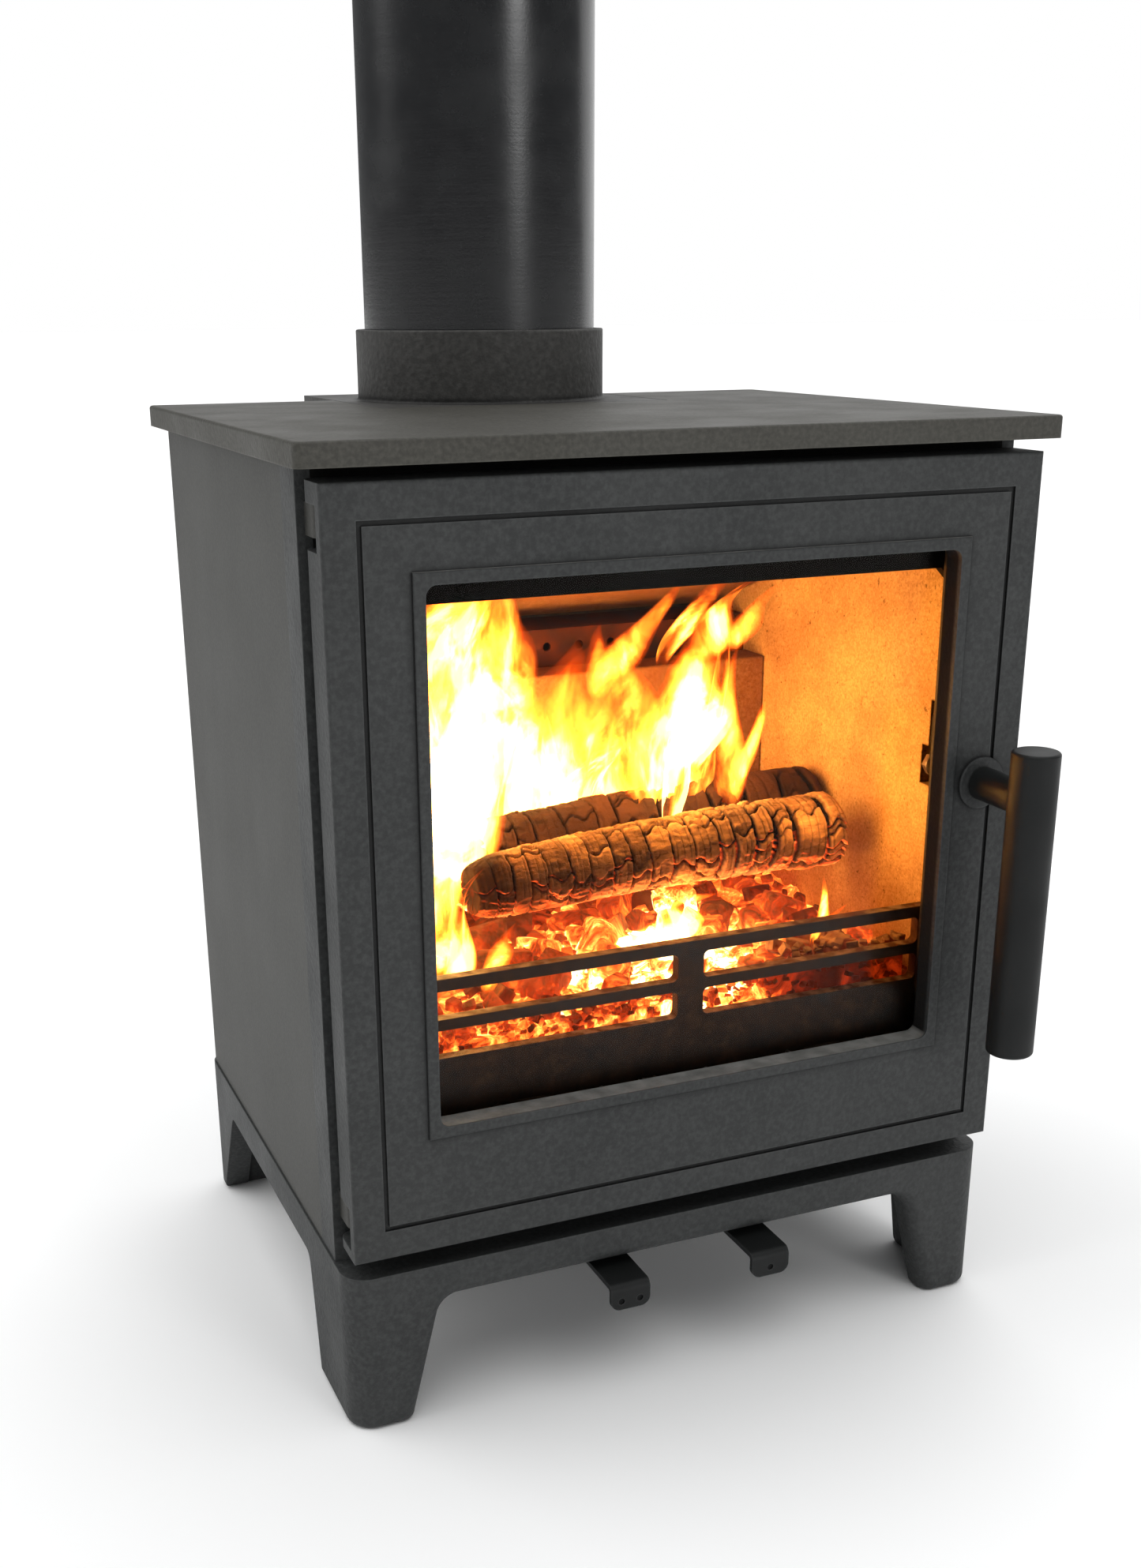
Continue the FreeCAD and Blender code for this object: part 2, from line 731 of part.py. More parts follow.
def make_flue_box_bolts():
    """Hexagon bolts that hold the flue box's flange on the back panel."""
    bolts = []
    face = BACK + dim("wall")
    for i, (x, z) in enumerate(flue_bolt_places()):
        head = hexagon("flue_bolt_head_%d" % i, "Y", 5.8, (x, face, z), 4)
        shank = rod("flue_bolt_shank_%d" % i, "Y", FLUE_BOLT_RADIUS, (x, BACK_PANEL_FRONT, z),
                    face - BACK_PANEL_FRONT)
        bolts.append(fuse("flue_bolt_%d" % i, head, shank))
    keep(group("flue_bolt_group", bolts), "flue_box_bolts")


def pipe_profile(name, grow, low, high):
    """A rod as wide as the pipe plus a margin, which widens near its top for the next pipe."""
    narrow, wide = dim("pipe_radius") - dim("pipe_wall") + grow, dim("mouth_radius") + grow
    shoulder = dim("socket_floor") + dim("pipe_length") - dim("mouth_depth") - dim("mouth_shoulder")
    widened = shoulder + dim("mouth_shoulder")
    return fuse(name,
                rod(name + "_tube", "Z", narrow, (0, FLUE_Y, low), shoulder - low),
                cone(name + "_shoulder", narrow, wide, (0, FLUE_Y, shoulder), dim("mouth_shoulder")),
                rod(name + "_mouth", "Z", wide, (0, FLUE_Y, widened), high - widened))


def make_flue_pipe():
    """One length of steel flue pipe on the ledge in the collar, with a widened mouth on top."""
    low = dim("socket_floor")
    high = low + dim("pipe_length")
    outside = pipe_profile("pipe_outside", dim("pipe_wall"), low, high)
    inside = pipe_profile("pipe_inside", 0, low - 1, high + 1)
    keep(cut("pipe_cut", outside, inside), "flue_pipe")


def make_flue_seal():
    """The ring of fire rope packed between the pipe and the collar."""
    body = new_body("flue_seal")
    centre = (0, FLUE_Y)
    prism(body, "seal_ring", "XY", (dim("collar_top") - 14, dim("collar_top") - 1),
          circles=[(centre, dim("socket_radius")), (centre, dim("pipe_radius"))])


# ---------------------------------------------------------------- firebox

def throat_height(y):
    """The height of the throat plate's underside at a distance behind the front plane."""
    fall = (dim("throat_high") - dim("throat_low")) / (dim("duct_back") - dim("throat_front"))
    return dim("throat_low") + (dim("duct_back") - y) * fall


def make_side_bricks():
    """The insulating side bricks, their tops cut to the slope of the throat plate."""
    front = dim("flange") + dim("fit_gap")
    for name, side in SIDES.items():
        body = new_body("brick_%s" % name)
        outline = [(FRONT + front, SHELF_TOP), (FRONT + dim("duct_back"), SHELF_TOP),
                   (FRONT + dim("duct_back"), throat_height(dim("duct_back"))),
                   (FRONT + front, throat_height(front))]
        prism(body, "brick_slab_%s" % name, "YZ", on_side(side, dim("brick_face"), dim("brick_side")),
              [outline])
        if side > 0:
            relieve_latch(body)


def relieve_latch(body):
    """The pocket in the right-hand brick that the latch cam and its nut turn in."""
    near, far = dim("brick_face") - 1, dim("keeper_outer") + 2
    start = FRONT + dim("flange")
    hub_low = dim("spindle_z") - 10
    hub_high = dim("spindle_z") + 10
    prism(body, "hub_relief", "XZ", (start, start + 11.5), [rectangle(near, far, hub_low, hub_high)],
          removes=True)
    prism(body, "cam_relief", "XZ", (start, start + 6),
          [rectangle(near, far, hub_low, dim("keeper_top") + 2)], removes=True)


def make_back_brick():
    """The insulating brick across the back of the fire."""
    front = FRONT + dim("back_brick_front")
    half = dim("brick_face") - dim("fit_gap")
    brick = box("back_brick_blank", (-half, half), (front, front + dim("back_brick_thickness")),
                (SHELF_TOP, dim("back_brick_top")))
    keep(easing("back_brick_eased", brick, 1.5,
                lambda edge: runs_along(edge, ALONG_X) and lies_at(edge, z=dim("back_brick_top"))),
         "brick_back")


def make_rear_air_duct():
    """The flat steel duct behind the back brick, with a row of jets above the brick."""
    half = dim("brick_face") - dim("fit_gap")
    skin = dim("sheet")
    front, back = FRONT + dim("duct_front"), FRONT + dim("duct_back")
    outer = box("duct_outer", (-half, half), (front, back), (FLOOR_TOP, dim("duct_top")))
    inner = box("duct_inner", (-half + skin, half - skin), (front + skin, back - skin),
                (FLOOR_TOP + skin, dim("duct_top") - skin))
    inlet = box("duct_inlet", (-54, -24), (front - 1, front + 3), (FLOOR_TOP + 2.5, FLOOR_TOP + 9))
    jets = [rod("duct_jet_%d" % i, "Y", 2.5, (20 * (i - 6), front - 1, dim("duct_top") - 10), 4)
            for i in range(13)]
    keep(cut("rear_duct_cut", outer, inner, inlet, *jets), "rear_air_duct")


def make_secondary_duct():
    """The low duct on the floor that leads air from the left control to the rear duct."""
    high = FLOOR_TOP + 11
    skin = dim("sheet")
    outer = box("floor_duct_outer", (-60, -18), (FRONT + 46, FRONT + dim("duct_front")),
                (FLOOR_TOP, high))
    inner = box("floor_duct_inner", (-60 + 2, -18 - 2), (FRONT + 48, FRONT + dim("duct_front") + 1),
                (FLOOR_TOP - 1, high - skin))
    keep(cut("floor_duct_cut", outer, inner), "secondary_air_duct")


def make_throat_plate():
    """The sloping plate over the fire that the gases pass round the front of."""
    body = new_body("throat_plate")
    half = dim("brick_side")
    front, back = dim("throat_front"), dim("duct_back")
    thick = dim("throat_thickness")
    outline = [(FRONT + back, throat_height(back)), (FRONT + back, throat_height(back) + thick),
               (FRONT + front, throat_height(front) + thick), (FRONT + front, throat_height(front))]
    prism(body, "throat_slab", "YZ", (-half, half), [outline])


def make_airwash_deflector():
    """The bent strip behind the top of the frame that turns secondary air down over the glass."""
    body = new_body("airwash_deflector")
    near = FRONT + dim("flange") + dim("fit_gap")
    low = dim("mouth_top") + 3
    skin = dim("sheet")
    half = dim("brick_face") - 1
    outline = [(near, low), (near + skin, low), (near + 16, low + 38), (near + 16, low + 52),
               (near + 14, low + 52), (near + 14, low + 38.6), (near, low + 2)]
    prism(body, "deflector_strip", "YZ", (-half, half), [outline])


def make_hearth_shelf():
    """The cast shelf that the bricks and the fence stand on, with a well for the grate."""
    body = new_body("hearth_shelf")
    half = dim("brick_side")
    lip_half = dim("mouth_half") - 1
    back = FRONT + dim("duct_front") - 0.5
    step = FRONT + dim("flange") + dim("fit_gap")
    outline = [(-lip_half, FRONT + 0.6), (lip_half, FRONT + 0.6), (lip_half, step), (half, step),
               (half, back), (-half, back), (-half, step), (-lip_half, step)]
    well_half = dim("grate_half") + 1
    well = rectangle(-well_half, well_half, FRONT + dim("grate_front") - 1,
                     FRONT + dim("grate_back") + 1)
    prism(body, "shelf_plate", "XY", (dim("shelf_bottom"), SHELF_TOP), [outline, well])


def make_shelf_rails():
    """The two bars on the side panels that carry the hearth shelf."""
    rails = [box("shelf_rail_%s" % name, on_side(side, 161, INNER_SIDE), (FRONT + 24, FRONT + 200),
                 (dim("shelf_bottom") - 10, dim("shelf_bottom"))) for name, side in SIDES.items()]
    keep(group("shelf_rail_group", rails), "shelf_rails")


def make_grate():
    """The cast bottom grate: slots front to back in a flanged plate that drops into the shelf."""
    body = new_body("grate")
    half = dim("grate_half")
    front, back = FRONT + dim("grate_front"), FRONT + dim("grate_back")
    rim = 7
    prism(body, "grate_plate", "XY", (dim("shelf_bottom") + 1, SHELF_TOP + 1),
          [rectangle(-half, half, front, back)])
    prism(body, "grate_rim", "XY", (SHELF_TOP, SHELF_TOP + 4),
          [rectangle(-half - rim, half + rim, front - rim, back + rim)])
    pitch = 20
    slots = [rectangle(pitch * i - 5, pitch * i + 5, front + 8, back - 8) for i in range(-4, 5)]
    prism(body, "grate_slots", "XY", (dim("shelf_bottom"), SHELF_TOP + 5), slots, removes=True)


def make_front_fence():
    """The cast fence that holds the logs back: two rows of windows over a ribbed panel."""
    body = new_body("front_fence")
    half = dim("fence_half")
    front = FRONT + 0.6
    back = front + dim("fence_thickness")
    top = dim("fence_top")
    prism(body, "fence_panel", "XZ", (front, back), [rectangle(-half, half, SHELF_TOP, top)])
    bar = 6
    window = 14
    posts = ((-half + bar, as_size(3)), (as_size(17), half - bar))
    windows = []
    for row in range(2):
        high = top - bar - row * (window + bar - 0.5)
        windows += [rectangle(low, far, high - window, high) for low, far in posts]
    prism(body, "fence_windows", "XZ", (front - 1, back + 1), windows, removes=True)
    round_edges(body, "fence_window_corners", 3,
                lambda edge: runs_along(edge, ALONG_Y) and edge.BoundBox.Center.z > 160
                and abs(edge.BoundBox.Center.x) < half.value - 2
                and edge.BoundBox.Center.z < top.value - 2)
    for i in range(3):
        low = SHELF_TOP + 5 + i * 9
        prism(body, "fence_rib_%d" % i, "XZ", (back - 1, back + 1.5), [rectangle(-half, half, low, low + 3)])


def make_ash_pan():
    """The folded steel pan that catches the ash, with a lip to lift it by."""
    half, skin = dim("pan_half"), dim("pan_wall")
    front, back = FRONT + dim("pan_front"), FRONT + dim("pan_back")
    low = dim("pan_bottom")
    top = low + dim("pan_height")
    outer = box("pan_outer", (-half, half), (front, back), (low, top))
    inner = box("pan_inner", (-half + skin, half - skin), (front + skin, back - skin), (low + skin, top + 1))
    tray = cut("pan_tray", outer, inner)
    lip = box("pan_lip", (-25, 25), (front - 4, front + 1), (top - skin, top))
    keep(fuse("ash_pan_fused", tray, lip), "ash_pan")


def make_pan_runners():
    """The two bars on the floor that the ash pan slides on, clear of the air holes."""
    runners = [box("pan_runner_%s" % name, on_side(side, 100, 106), (FRONT + 12, FRONT + 200),
                   (FLOOR_TOP, dim("pan_bottom"))) for name, side in SIDES.items()]
    keep(group("pan_runner_group", runners), "ash_pan_runners")


def make_logs():
    """Two burning logs, laid side to side on the embers."""
    logs = {
        "log_front": (17.0, 22.0, Vector(-82, 60, 238.5), Vector(128, 69, 242.5)),
        "log_rear": (22.0, 23.0, Vector(-75, 124, 230), Vector(144, 117, 243)),
    }
    for name, (left_radius, right_radius, left, right) in logs.items():
        along = right - left
        log = doc.addObject("Part::Cone", name + "_rod")
        log.Placement = Placement(left, Rotation(Vector(0, 0, 1), along))
        bind(log, "Radius1", left_radius)
        bind(log, "Radius2", right_radius)
        bind(log, "Height", along.Length)
        bind_base(log, left.x, FRONT + left.y, left.z)
        end_easing = left_radius / 4
        keep(easing(name + "_eased", log, end_easing, lambda edge: isinstance(edge.Curve, Part.Circle)),
             name)


def make_ember_bed():
    """The heap of embers on the grate, higher towards the back."""
    body = new_body("ember_bed")
    half = dim("brick_face") - 2
    low = SHELF_TOP + 4.5
    front, back = FRONT + 9.5, FRONT + dim("back_brick_front") - 1
    outline = [(front, low), (back, low), (back, 202), (FRONT + 110, 204), (FRONT + 60, 202),
               (front + 8, 192), (front, 184)]
    prism(body, "ember_heap", "YZ", (-half, half), [outline])


# ---------------------------------------------------------------- hinges

NOTCHES = {
    "lower": (dim("lower_notch_bottom"), dim("lower_notch_top")),
    "upper": (dim("upper_notch_bottom"), dim("upper_notch_top")),
}


def make_hinges():
    """A round-nosed lug on the frame and an upright pin in it, for each door notch."""
    for name, (_, notch_top) in NOTCHES.items():
        top = notch_top - dim("thrust_gap")
        low = top - dim("lug_height")
        radius = dim("lug_radius")
        nose = rod("lug_nose_%s" % name, "Z", radius, (dim("hinge_x"), HINGE_Y, low), dim("lug_height"))
        stem = box("lug_stem_%s" % name, (dim("hinge_x") - radius, dim("hinge_x") + radius),
                   (HINGE_Y, FRONT), (low, top))
        hole = rod("lug_hole_%s" % name, "Z", dim("pin_radius"), (dim("hinge_x"), HINGE_Y, low - 1),
                   dim("lug_height") + 2)
        keep(cut("lug_cut_%s" % name, fuse("lug_fused_%s" % name, nose, stem), hole),
             "hinge_lug_%s" % name)
        pin = rod("pin_rod_%s" % name, "Z", dim("pin_radius"), (dim("hinge_x"), HINGE_Y, low),
                  dim("lug_height") + dim("pin_stand"))
        keep(pin, "hinge_pin_%s" % name)


# ---------------------------------------------------------------- door

CLIP_SCREW_RADIUS = 2.0
CLIP_SCREW_DEPTH = 7.5


def clip_places():
    """Each glass clip: its X centre, and the glass edge that it laps, with the way outwards."""
    return [(dim("clip_x") * side, edge, way) for side in (-1, 1)
            for edge, way in ((GLASS_BOTTOM, -1), (GLASS_TOP, 1))]


def clip_screw_place(x, edge, way):
    """The centre of a clip's screw."""
    return (x, edge + 8 * way)


def make_door_frame():
    """The cast door: a deep slab with a framed window, hinge notches and a handle boss."""
    body = new_body("door_frame")
    low, high = dim("door_bottom"), dim("door_top")
    prism(body, "door_slab", "XZ", (DOOR_FRONT, DOOR_BACK), [rectangle(-HALF_DOOR, HALF_DOOR, low, high)])
    round_edges(body, "door_hinge_edge", dim("door_back_round"),
                lambda edge: runs_along(edge, ALONG_Z) and lies_at(edge, x=-HALF_DOOR, y=DOOR_BACK))
    round_edges(body, "door_front_easing", 1.5, lambda edge: lies_at(edge, y=DOOR_FRONT))
    cut_door_face(body)
    cut_door_back(body)
    cut_hinge_notches(body)
    add_handle_boss(body)


def cut_door_face(body):
    """The decorative groove, the raised bead and the window itself."""
    outer, width = dim("groove_half"), dim("groove_width")
    inner = outer - width
    prism(body, "door_groove", "XZ", (DOOR_FRONT - 1, DOOR_FRONT + dim("groove_depth")),
          [rectangle(-outer, outer, dim("groove_bottom"), dim("groove_top")),
           rectangle(-inner, inner, dim("groove_bottom") + width, dim("groove_top") - width)],
          removes=True)
    half, low, high = dim("window_half"), dim("window_bottom"), dim("window_top")
    bead = dim("bead_width")
    prism(body, "window_bead", "XZ", (DOOR_FRONT - dim("bead_height"), DOOR_FRONT + 1),
          [rectangle(-half - bead, half + bead, low - bead, high + bead)])
    bead_front = DOOR_FRONT - dim("bead_height")
    round_edges(body, "bead_easing", 1, lambda edge: lies_at(edge, y=bead_front))
    prism(body, "window_opening", "XZ", (bead_front - 1, DOOR_BACK + 1),
          [rectangle(-half, half, low, high)], removes=True)
    round_edges(body, "window_corners", 5,
                lambda edge: runs_along(edge, ALONG_Y) and abs(edge.BoundBox.Center.x) - half.value < 0.05
                and edge.Length > 26 and low.value - 0.1 < edge.BoundBox.Center.z < high.value + 0.1)


def cut_door_back(body):
    """The glass rebate, the rope channel, the clip pockets and the clips' screw holes."""
    behind = DOOR_BACK + 1
    play = 1
    prism(body, "glass_rebate", "XZ", (GLASS_FRONT - dim("glass_seal"), behind),
          [rectangle(-GLASS_HALF - play, GLASS_HALF + play, GLASS_BOTTOM - play, GLASS_TOP + play)],
          removes=True)
    prism(body, "rope_channel_cut", "XZ", (DOOR_BACK - dim("rope_channel"), behind), rope_outlines(),
          removes=True)
    prism(body, "lower_pocket", "XZ", (GLASS_BACK, behind), [rectangle(-125, 125, 113, GLASS_BOTTOM)],
          removes=True)
    half = dim("clip_width") / 2 + 2
    pockets = [rectangle(dim("clip_x") * side - half, dim("clip_x") * side + half,
                         GLASS_TOP, GLASS_TOP + 18) for side in (-1, 1)]
    prism(body, "clip_pockets", "XZ", (GLASS_BACK, behind), pockets, removes=True)
    screws = [(clip_screw_place(*place), CLIP_SCREW_RADIUS) for place in clip_places()]
    prism(body, "clip_screw_holes", "XZ", (GLASS_BACK - CLIP_SCREW_DEPTH, behind), circles=screws,
          removes=True)


def rope_outlines():
    """The outer and inner outline of the rope's path round the door."""
    left, right = -dim("rope_left"), dim("rope_right")
    low, high = dim("rope_bottom"), dim("rope_top")
    width = dim("rope_width")
    return [rectangle(left, right, low, high),
            rectangle(left + width, right - width, low + width, high - width)]


def cut_hinge_notches(body):
    """The two notches in the hinge edge, each with a blind hole over it for the pin."""
    for name, (notch_low, notch_high) in NOTCHES.items():
        prism(body, "hinge_notch_%s" % name, "XZ", (FRONT - dim("notch_skin"), DOOR_BACK + 1),
              [rectangle(-HALF_DOOR - 1, dim("notch_inner"), notch_low, notch_high)], removes=True)
        prism(body, "hinge_hole_%s" % name, "XY", (notch_high - 1, notch_high + dim("pin_stand") + 0.6),
              circles=[((dim("hinge_x"), HINGE_Y), dim("pin_radius") + dim("running_gap"))],
              removes=True)


def add_handle_boss(body):
    """The round boss that the handle's spindle comes out of, bored for the bush."""
    front = DOOR_FRONT - dim("bead_height")
    prism(body, "handle_boss", "XZ", (front, DOOR_FRONT + dim("groove_depth") + 1),
          circles=[(SPINDLE, dim("boss_radius"))])
    round_edges(body, "boss_easing", 1,
                lambda edge: lies_at(edge, y=front) and isinstance(edge.Curve, Part.Circle)
                and abs(edge.Curve.Radius - dim("boss_radius").value) < 0.01)
    prism(body, "bush_bore", "XZ", (front - 1, DOOR_BACK + 1), circles=[(SPINDLE, dim("bush_radius"))],
          removes=True)


def make_spindle_bush():
    """The plain bush that the handle's spindle turns in."""
    body = new_body("spindle_bush")
    prism(body, "bush_tube", "XZ", (DOOR_FRONT - dim("bead_height"), DOOR_BACK),
          circles=[(SPINDLE, dim("bush_radius")),
                   (SPINDLE, dim("spindle_radius") + dim("running_gap"))])


def make_glass():
    """The heat-proof glass pane and the flat seal that it is bedded on."""
    pane = new_body("glass_pane")
    outline = rectangle(-GLASS_HALF, GLASS_HALF, GLASS_BOTTOM, GLASS_TOP)
    prism(pane, "pane_sheet", "XZ", (GLASS_FRONT, GLASS_BACK), [outline])
    seal = new_body("glass_seal")
    inset = dim("glass_lap") - 1
    inner = rectangle(-GLASS_HALF + inset, GLASS_HALF - inset, GLASS_BOTTOM + inset, GLASS_TOP - inset)
    prism(seal, "seal_tape", "XZ", (GLASS_FRONT - dim("glass_seal"), GLASS_FRONT), [outline, inner])


def make_glass_clips():
    """Four spring-steel clips that hold the glass, each with a cheese-head screw."""
    clips = []
    screws = []
    half = dim("clip_width") / 2
    clip_back = GLASS_BACK + dim("clip_thickness")
    for i, (x, edge, way) in enumerate(clip_places()):
        near, far = edge - 6 * way, edge + dim("clip_reach") * way
        span = (near, far) if way > 0 else (far, near)
        blank = box("clip_blank_%d" % i, (x - half, x + half), (GLASS_BACK, clip_back), span)
        screw_x, screw_z = clip_screw_place(x, edge, way)
        hole = rod("clip_hole_%d" % i, "Y", CLIP_SCREW_RADIUS, (screw_x, GLASS_BACK - 1, screw_z), 4)
        clips.append(cut("clip_%d" % i, blank, hole))
        shank = rod("clip_screw_shank_%d" % i, "Y", CLIP_SCREW_RADIUS,
                    (screw_x, GLASS_BACK - CLIP_SCREW_DEPTH, screw_z),
                    dim("clip_thickness") + CLIP_SCREW_DEPTH)
        head = rod("clip_screw_head_%d" % i, "Y", 3.6, (screw_x, clip_back, screw_z), 2.6)
        slot = box("clip_screw_slot_%d" % i, (screw_x - 4, screw_x + 4), (clip_back + 1.6, clip_back + 3),
                   (screw_z - 0.5, screw_z + 0.5))
        screws.append(cut("clip_screw_%d" % i, fuse("clip_screw_fused_%d" % i, shank, head), slot))
    keep(group("clip_group", clips), "glass_clips")
    keep(group("clip_screw_group", screws), "glass_clip_screws")


def make_door_rope():
    """The fire rope in the door's channel, standing proud to meet the frame."""
    body = new_body("door_rope")
    prism(body, "rope_ring", "XZ", (DOOR_BACK - dim("rope_channel"), FRONT - dim("thrust_gap")),
          rope_outlines())


# ---------------------------------------------------------------- handle and latch

def make_handle():
    """The turning handle: a round bar across the end of a stepped spindle."""
    x, z = SPINDLE
    bar_y = FRONT - dim("bar_y")
    neck_front = bar_y + 6
    neck_back = DOOR_FRONT - dim("bead_height") - dim("thrust_gap")
    cam_front = FRONT + dim("cam_front")
    neck = rod("spindle_neck", "Y", dim("neck_radius"), (x, neck_front, z), neck_back - neck_front)
    shaft = rod("spindle_shaft", "Y", dim("spindle_radius"), (x, neck_front, z), cam_front - neck_front)
    thread = rod("spindle_thread", "Y", dim("thread_radius"), (x, neck_front, z),
                 cam_front + 9.5 - neck_front)
    keep(fuse("spindle_fused", neck, shaft, thread), "handle_spindle")
    bar = rod("bar_rod", "Z", dim("bar_radius"), (x, bar_y, dim("bar_bottom")),
              dim("bar_top") - dim("bar_bottom"))
    rounded = easing("bar_eased", bar, 1.5, lambda edge: isinstance(edge.Curve, Part.Circle))
    socket = rod("bar_socket", "Y", dim("neck_radius"), (x, neck_front, z), 12)
    keep(cut("bar_cut", rounded, socket), "handle_bar")


def make_latch_cam():
    """The cam on the spindle's inner end, its tongue upright, and the washer and nut that hold it."""
    x, z = SPINDLE
    front = FRONT + dim("cam_front")
    thick = dim("cam_thickness")
    half = dim("cam_half_width")
    hub = rod("cam_hub", "Y", 6, (x, front, z), thick)
    tongue = box("cam_tongue", (x - half, x + half), (front, front + thick), (z, z + dim("cam_reach")))
    tongue_eased = easing("cam_tongue_eased", tongue, 1.5,
                          lambda edge: runs_along(edge, ALONG_Y)
                          and edge.BoundBox.Center.z > z.value + 20)
    hole = rod("cam_hole", "Y", dim("thread_radius"), (x, front - 1, z), thick + 2)
    keep(cut("cam_cut", fuse("cam_fused", hub, tongue_eased), hole), "latch_cam")
    washer = rod("washer_disc", "Y", 6, (x, front + thick, z), 1)
    washer_hole = rod("washer_hole", "Y", dim("thread_radius"), (x, front + thick - 1, z), 3)
    keep(cut("washer_cut", washer, washer_hole), "spindle_washer")
    nut = hexagon("nut_hexagon", "Y", 5.8, (x, front + thick + 1, z), 3.5)
    nut_hole = rod("nut_hole", "Y", dim("thread_radius"), (x, front + thick, z), 6)
    keep(cut("nut_cut", nut, nut_hole), "spindle_nut")


# ---------------------------------------------------------------- air controls

def make_air_box():
    """The folded box under the floor, divided in two, that the air is drawn in through."""
    half, skin = dim("air_box_half"), dim("sheet")
    front, back = FRONT + dim("air_box_front"), FRONT + dim("air_box_back")
    low, high = AIR_BOX_BOTTOM, dim("body_bottom")
    outer = box("air_box_outer", (-half, half), (front, back), (low, high))
    tools = []
    for name, side in SIDES.items():
        tools.append(box("air_chamber_%s" % name, on_side(side, 1, half - skin),
                         (front + skin, back - skin), (low + skin, high + 1)))
        tools.append(box("air_inlet_%s" % name, on_side(side, dim("slide_x") - 20, dim("slide_x") + 20),
                         (FRONT + 62, FRONT + 86), (low - 1, low + skin + 1)))
    keep(cut("air_box_cut", outer, *tools), "air_box")


def make_slide_guides():
    """The three runners under the air box that the shutters slide on."""
    low = SLIDE_BOTTOM - dim("fit_gap") - 2.5
    lip_top = SLIDE_BOTTOM - dim("fit_gap")
    span = (FRONT + dim("air_box_front"), FRONT + dim("air_box_back"))
    inner = dim("slide_x") - dim("shutter_half") - dim("fit_gap")
    outer = dim("slide_x") + dim("shutter_half") + dim("fit_gap")
    web = box("guide_web_centre", (-inner, inner), span, (low, AIR_BOX_BOTTOM))
    lip = box("guide_lip_centre", (-inner - 6, inner + 6), span, (low, lip_top))
    guides = [fuse("guide_centre", web, lip)]
    for name, side in SIDES.items():
        web = box("guide_web_%s" % name, on_side(side, outer, outer + 3), span, (low, AIR_BOX_BOTTOM))
        lip = box("guide_lip_%s" % name, on_side(side, outer - 6, outer + 3), span, (low, lip_top))
        guides.append(fuse("guide_%s" % name, web, lip))
    keep(group("slide_guide_group", guides), "slide_guides")


def make_air_slide(label, side, dimple_offsets):
    """One air control: a strip with a bent-down lip, widening to a shutter with a window."""
    body = new_body(label)
    centre = dim("slide_x") * side
    half = dim("slide_width") / 2
    top, low = dim("slide_top"), SLIDE_BOTTOM
    lip_front = FRONT - dim("lip_front")
    lip_back = lip_front + dim("slide_thickness")
    shutter_front, shutter_back = FRONT + dim("shutter_front"), FRONT + dim("shutter_back")
    profile = [(lip_front, dim("lip_bottom")), (lip_back, dim("lip_bottom")), (lip_back, low),
               (shutter_front + 5, low), (shutter_front + 5, top), (lip_front, top)]
    prism(body, label + "_strip", "YZ", (centre - half, centre + half), [profile])
    round_edges(body, label + "_bend", 4,
                lambda edge: runs_along(edge, ALONG_X) and lies_at(edge, y=lip_front, z=top))
    round_edges(body, label + "_inner_bend", 1.5,
                lambda edge: runs_along(edge, ALONG_X) and lies_at(edge, y=lip_back, z=low))
    round_edges(body, label + "_lip_corners", 5,
                lambda edge: runs_along(edge, ALONG_Y) and lies_at(edge, z=dim("lip_bottom")))
    wide = dim("shutter_half")
    window = rectangle(centre - 18, centre + 18, shutter_front + 14, shutter_front + 34)
    prism(body, label + "_shutter", "XY", (low, top),
          [rectangle(centre - wide, centre + wide, shutter_front, shutter_back), window])
    dimples = [((centre + offset, dim("lip_bottom") + 4.6), dim("dimple_radius"))
               for offset in dimple_offsets]
    prism(body, label + "_dimples", "XZ", (lip_front - 1, lip_front + dim("dimple_depth")),
          circles=dimples, removes=True)


# ---------------------------------------------------------------- the whole stove

def build():
    """Makes every sub-part in the document."""
    fill_sheet()
    make_base_stand()
    make_base_bolts()
    make_floor_plate()
    make_side_panels()
    make_back_panel()
    make_front_frame()
    make_latch_keeper()
    make_top_gasket()
    make_top_plate()
    make_top_fixings()
    make_flue_collar()
    make_flue_box()
    make_flue_box_bolts()
    make_flue_pipe()
    make_flue_seal()
    make_side_bricks()
    make_back_brick()
    make_rear_air_duct()
    make_secondary_duct()
    make_throat_plate()
    make_airwash_deflector()
    make_hearth_shelf()
    make_shelf_rails()
    make_grate()
    make_front_fence()
    make_ash_pan()
    make_pan_runners()
    make_logs()
    make_ember_bed()
    make_hinges()
    make_door_frame()
    make_spindle_bush()
    make_glass()
    make_glass_clips()
    make_door_rope()
    make_handle()
    make_latch_cam()
    make_air_box()
    make_slide_guides()
    make_air_slide("primary_air_slide", 1, (0,))
    make_air_slide("secondary_air_slide", -1, (-5, 5))
    doc.recompute()


def check():
    """Stops if any object failed, or any sub-part has no valid shape."""
    failed = [thing.Label for thing in doc.Objects
              if "Invalid" in thing.State or "Error" in thing.State]
    bad = [thing.Label for thing in subparts
           if thing.Shape.isNull() or not thing.Shape.isValid() or not thing.Shape.Solids]
    if failed or bad:
        raise RuntimeError("failed: %s; bad shapes: %s" % (failed, bad))


def export():
    """Writes each sub-part to its own file."""
    os.makedirs("parts", exist_ok=True)
    for thing in subparts:
        thing.Shape.exportStep(os.path.join("parts", thing.Label + ".step"))
        solids = len(thing.Shape.Solids)
        print("%-22s %d solid(s), %8.1f cm3" % (thing.Label, solids, thing.Shape.Volume / 1000))


build()
check()
export()
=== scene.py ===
import json
import math

import bmesh
import bpy
import numpy as np
from mathutils import Matrix, Vector, noise


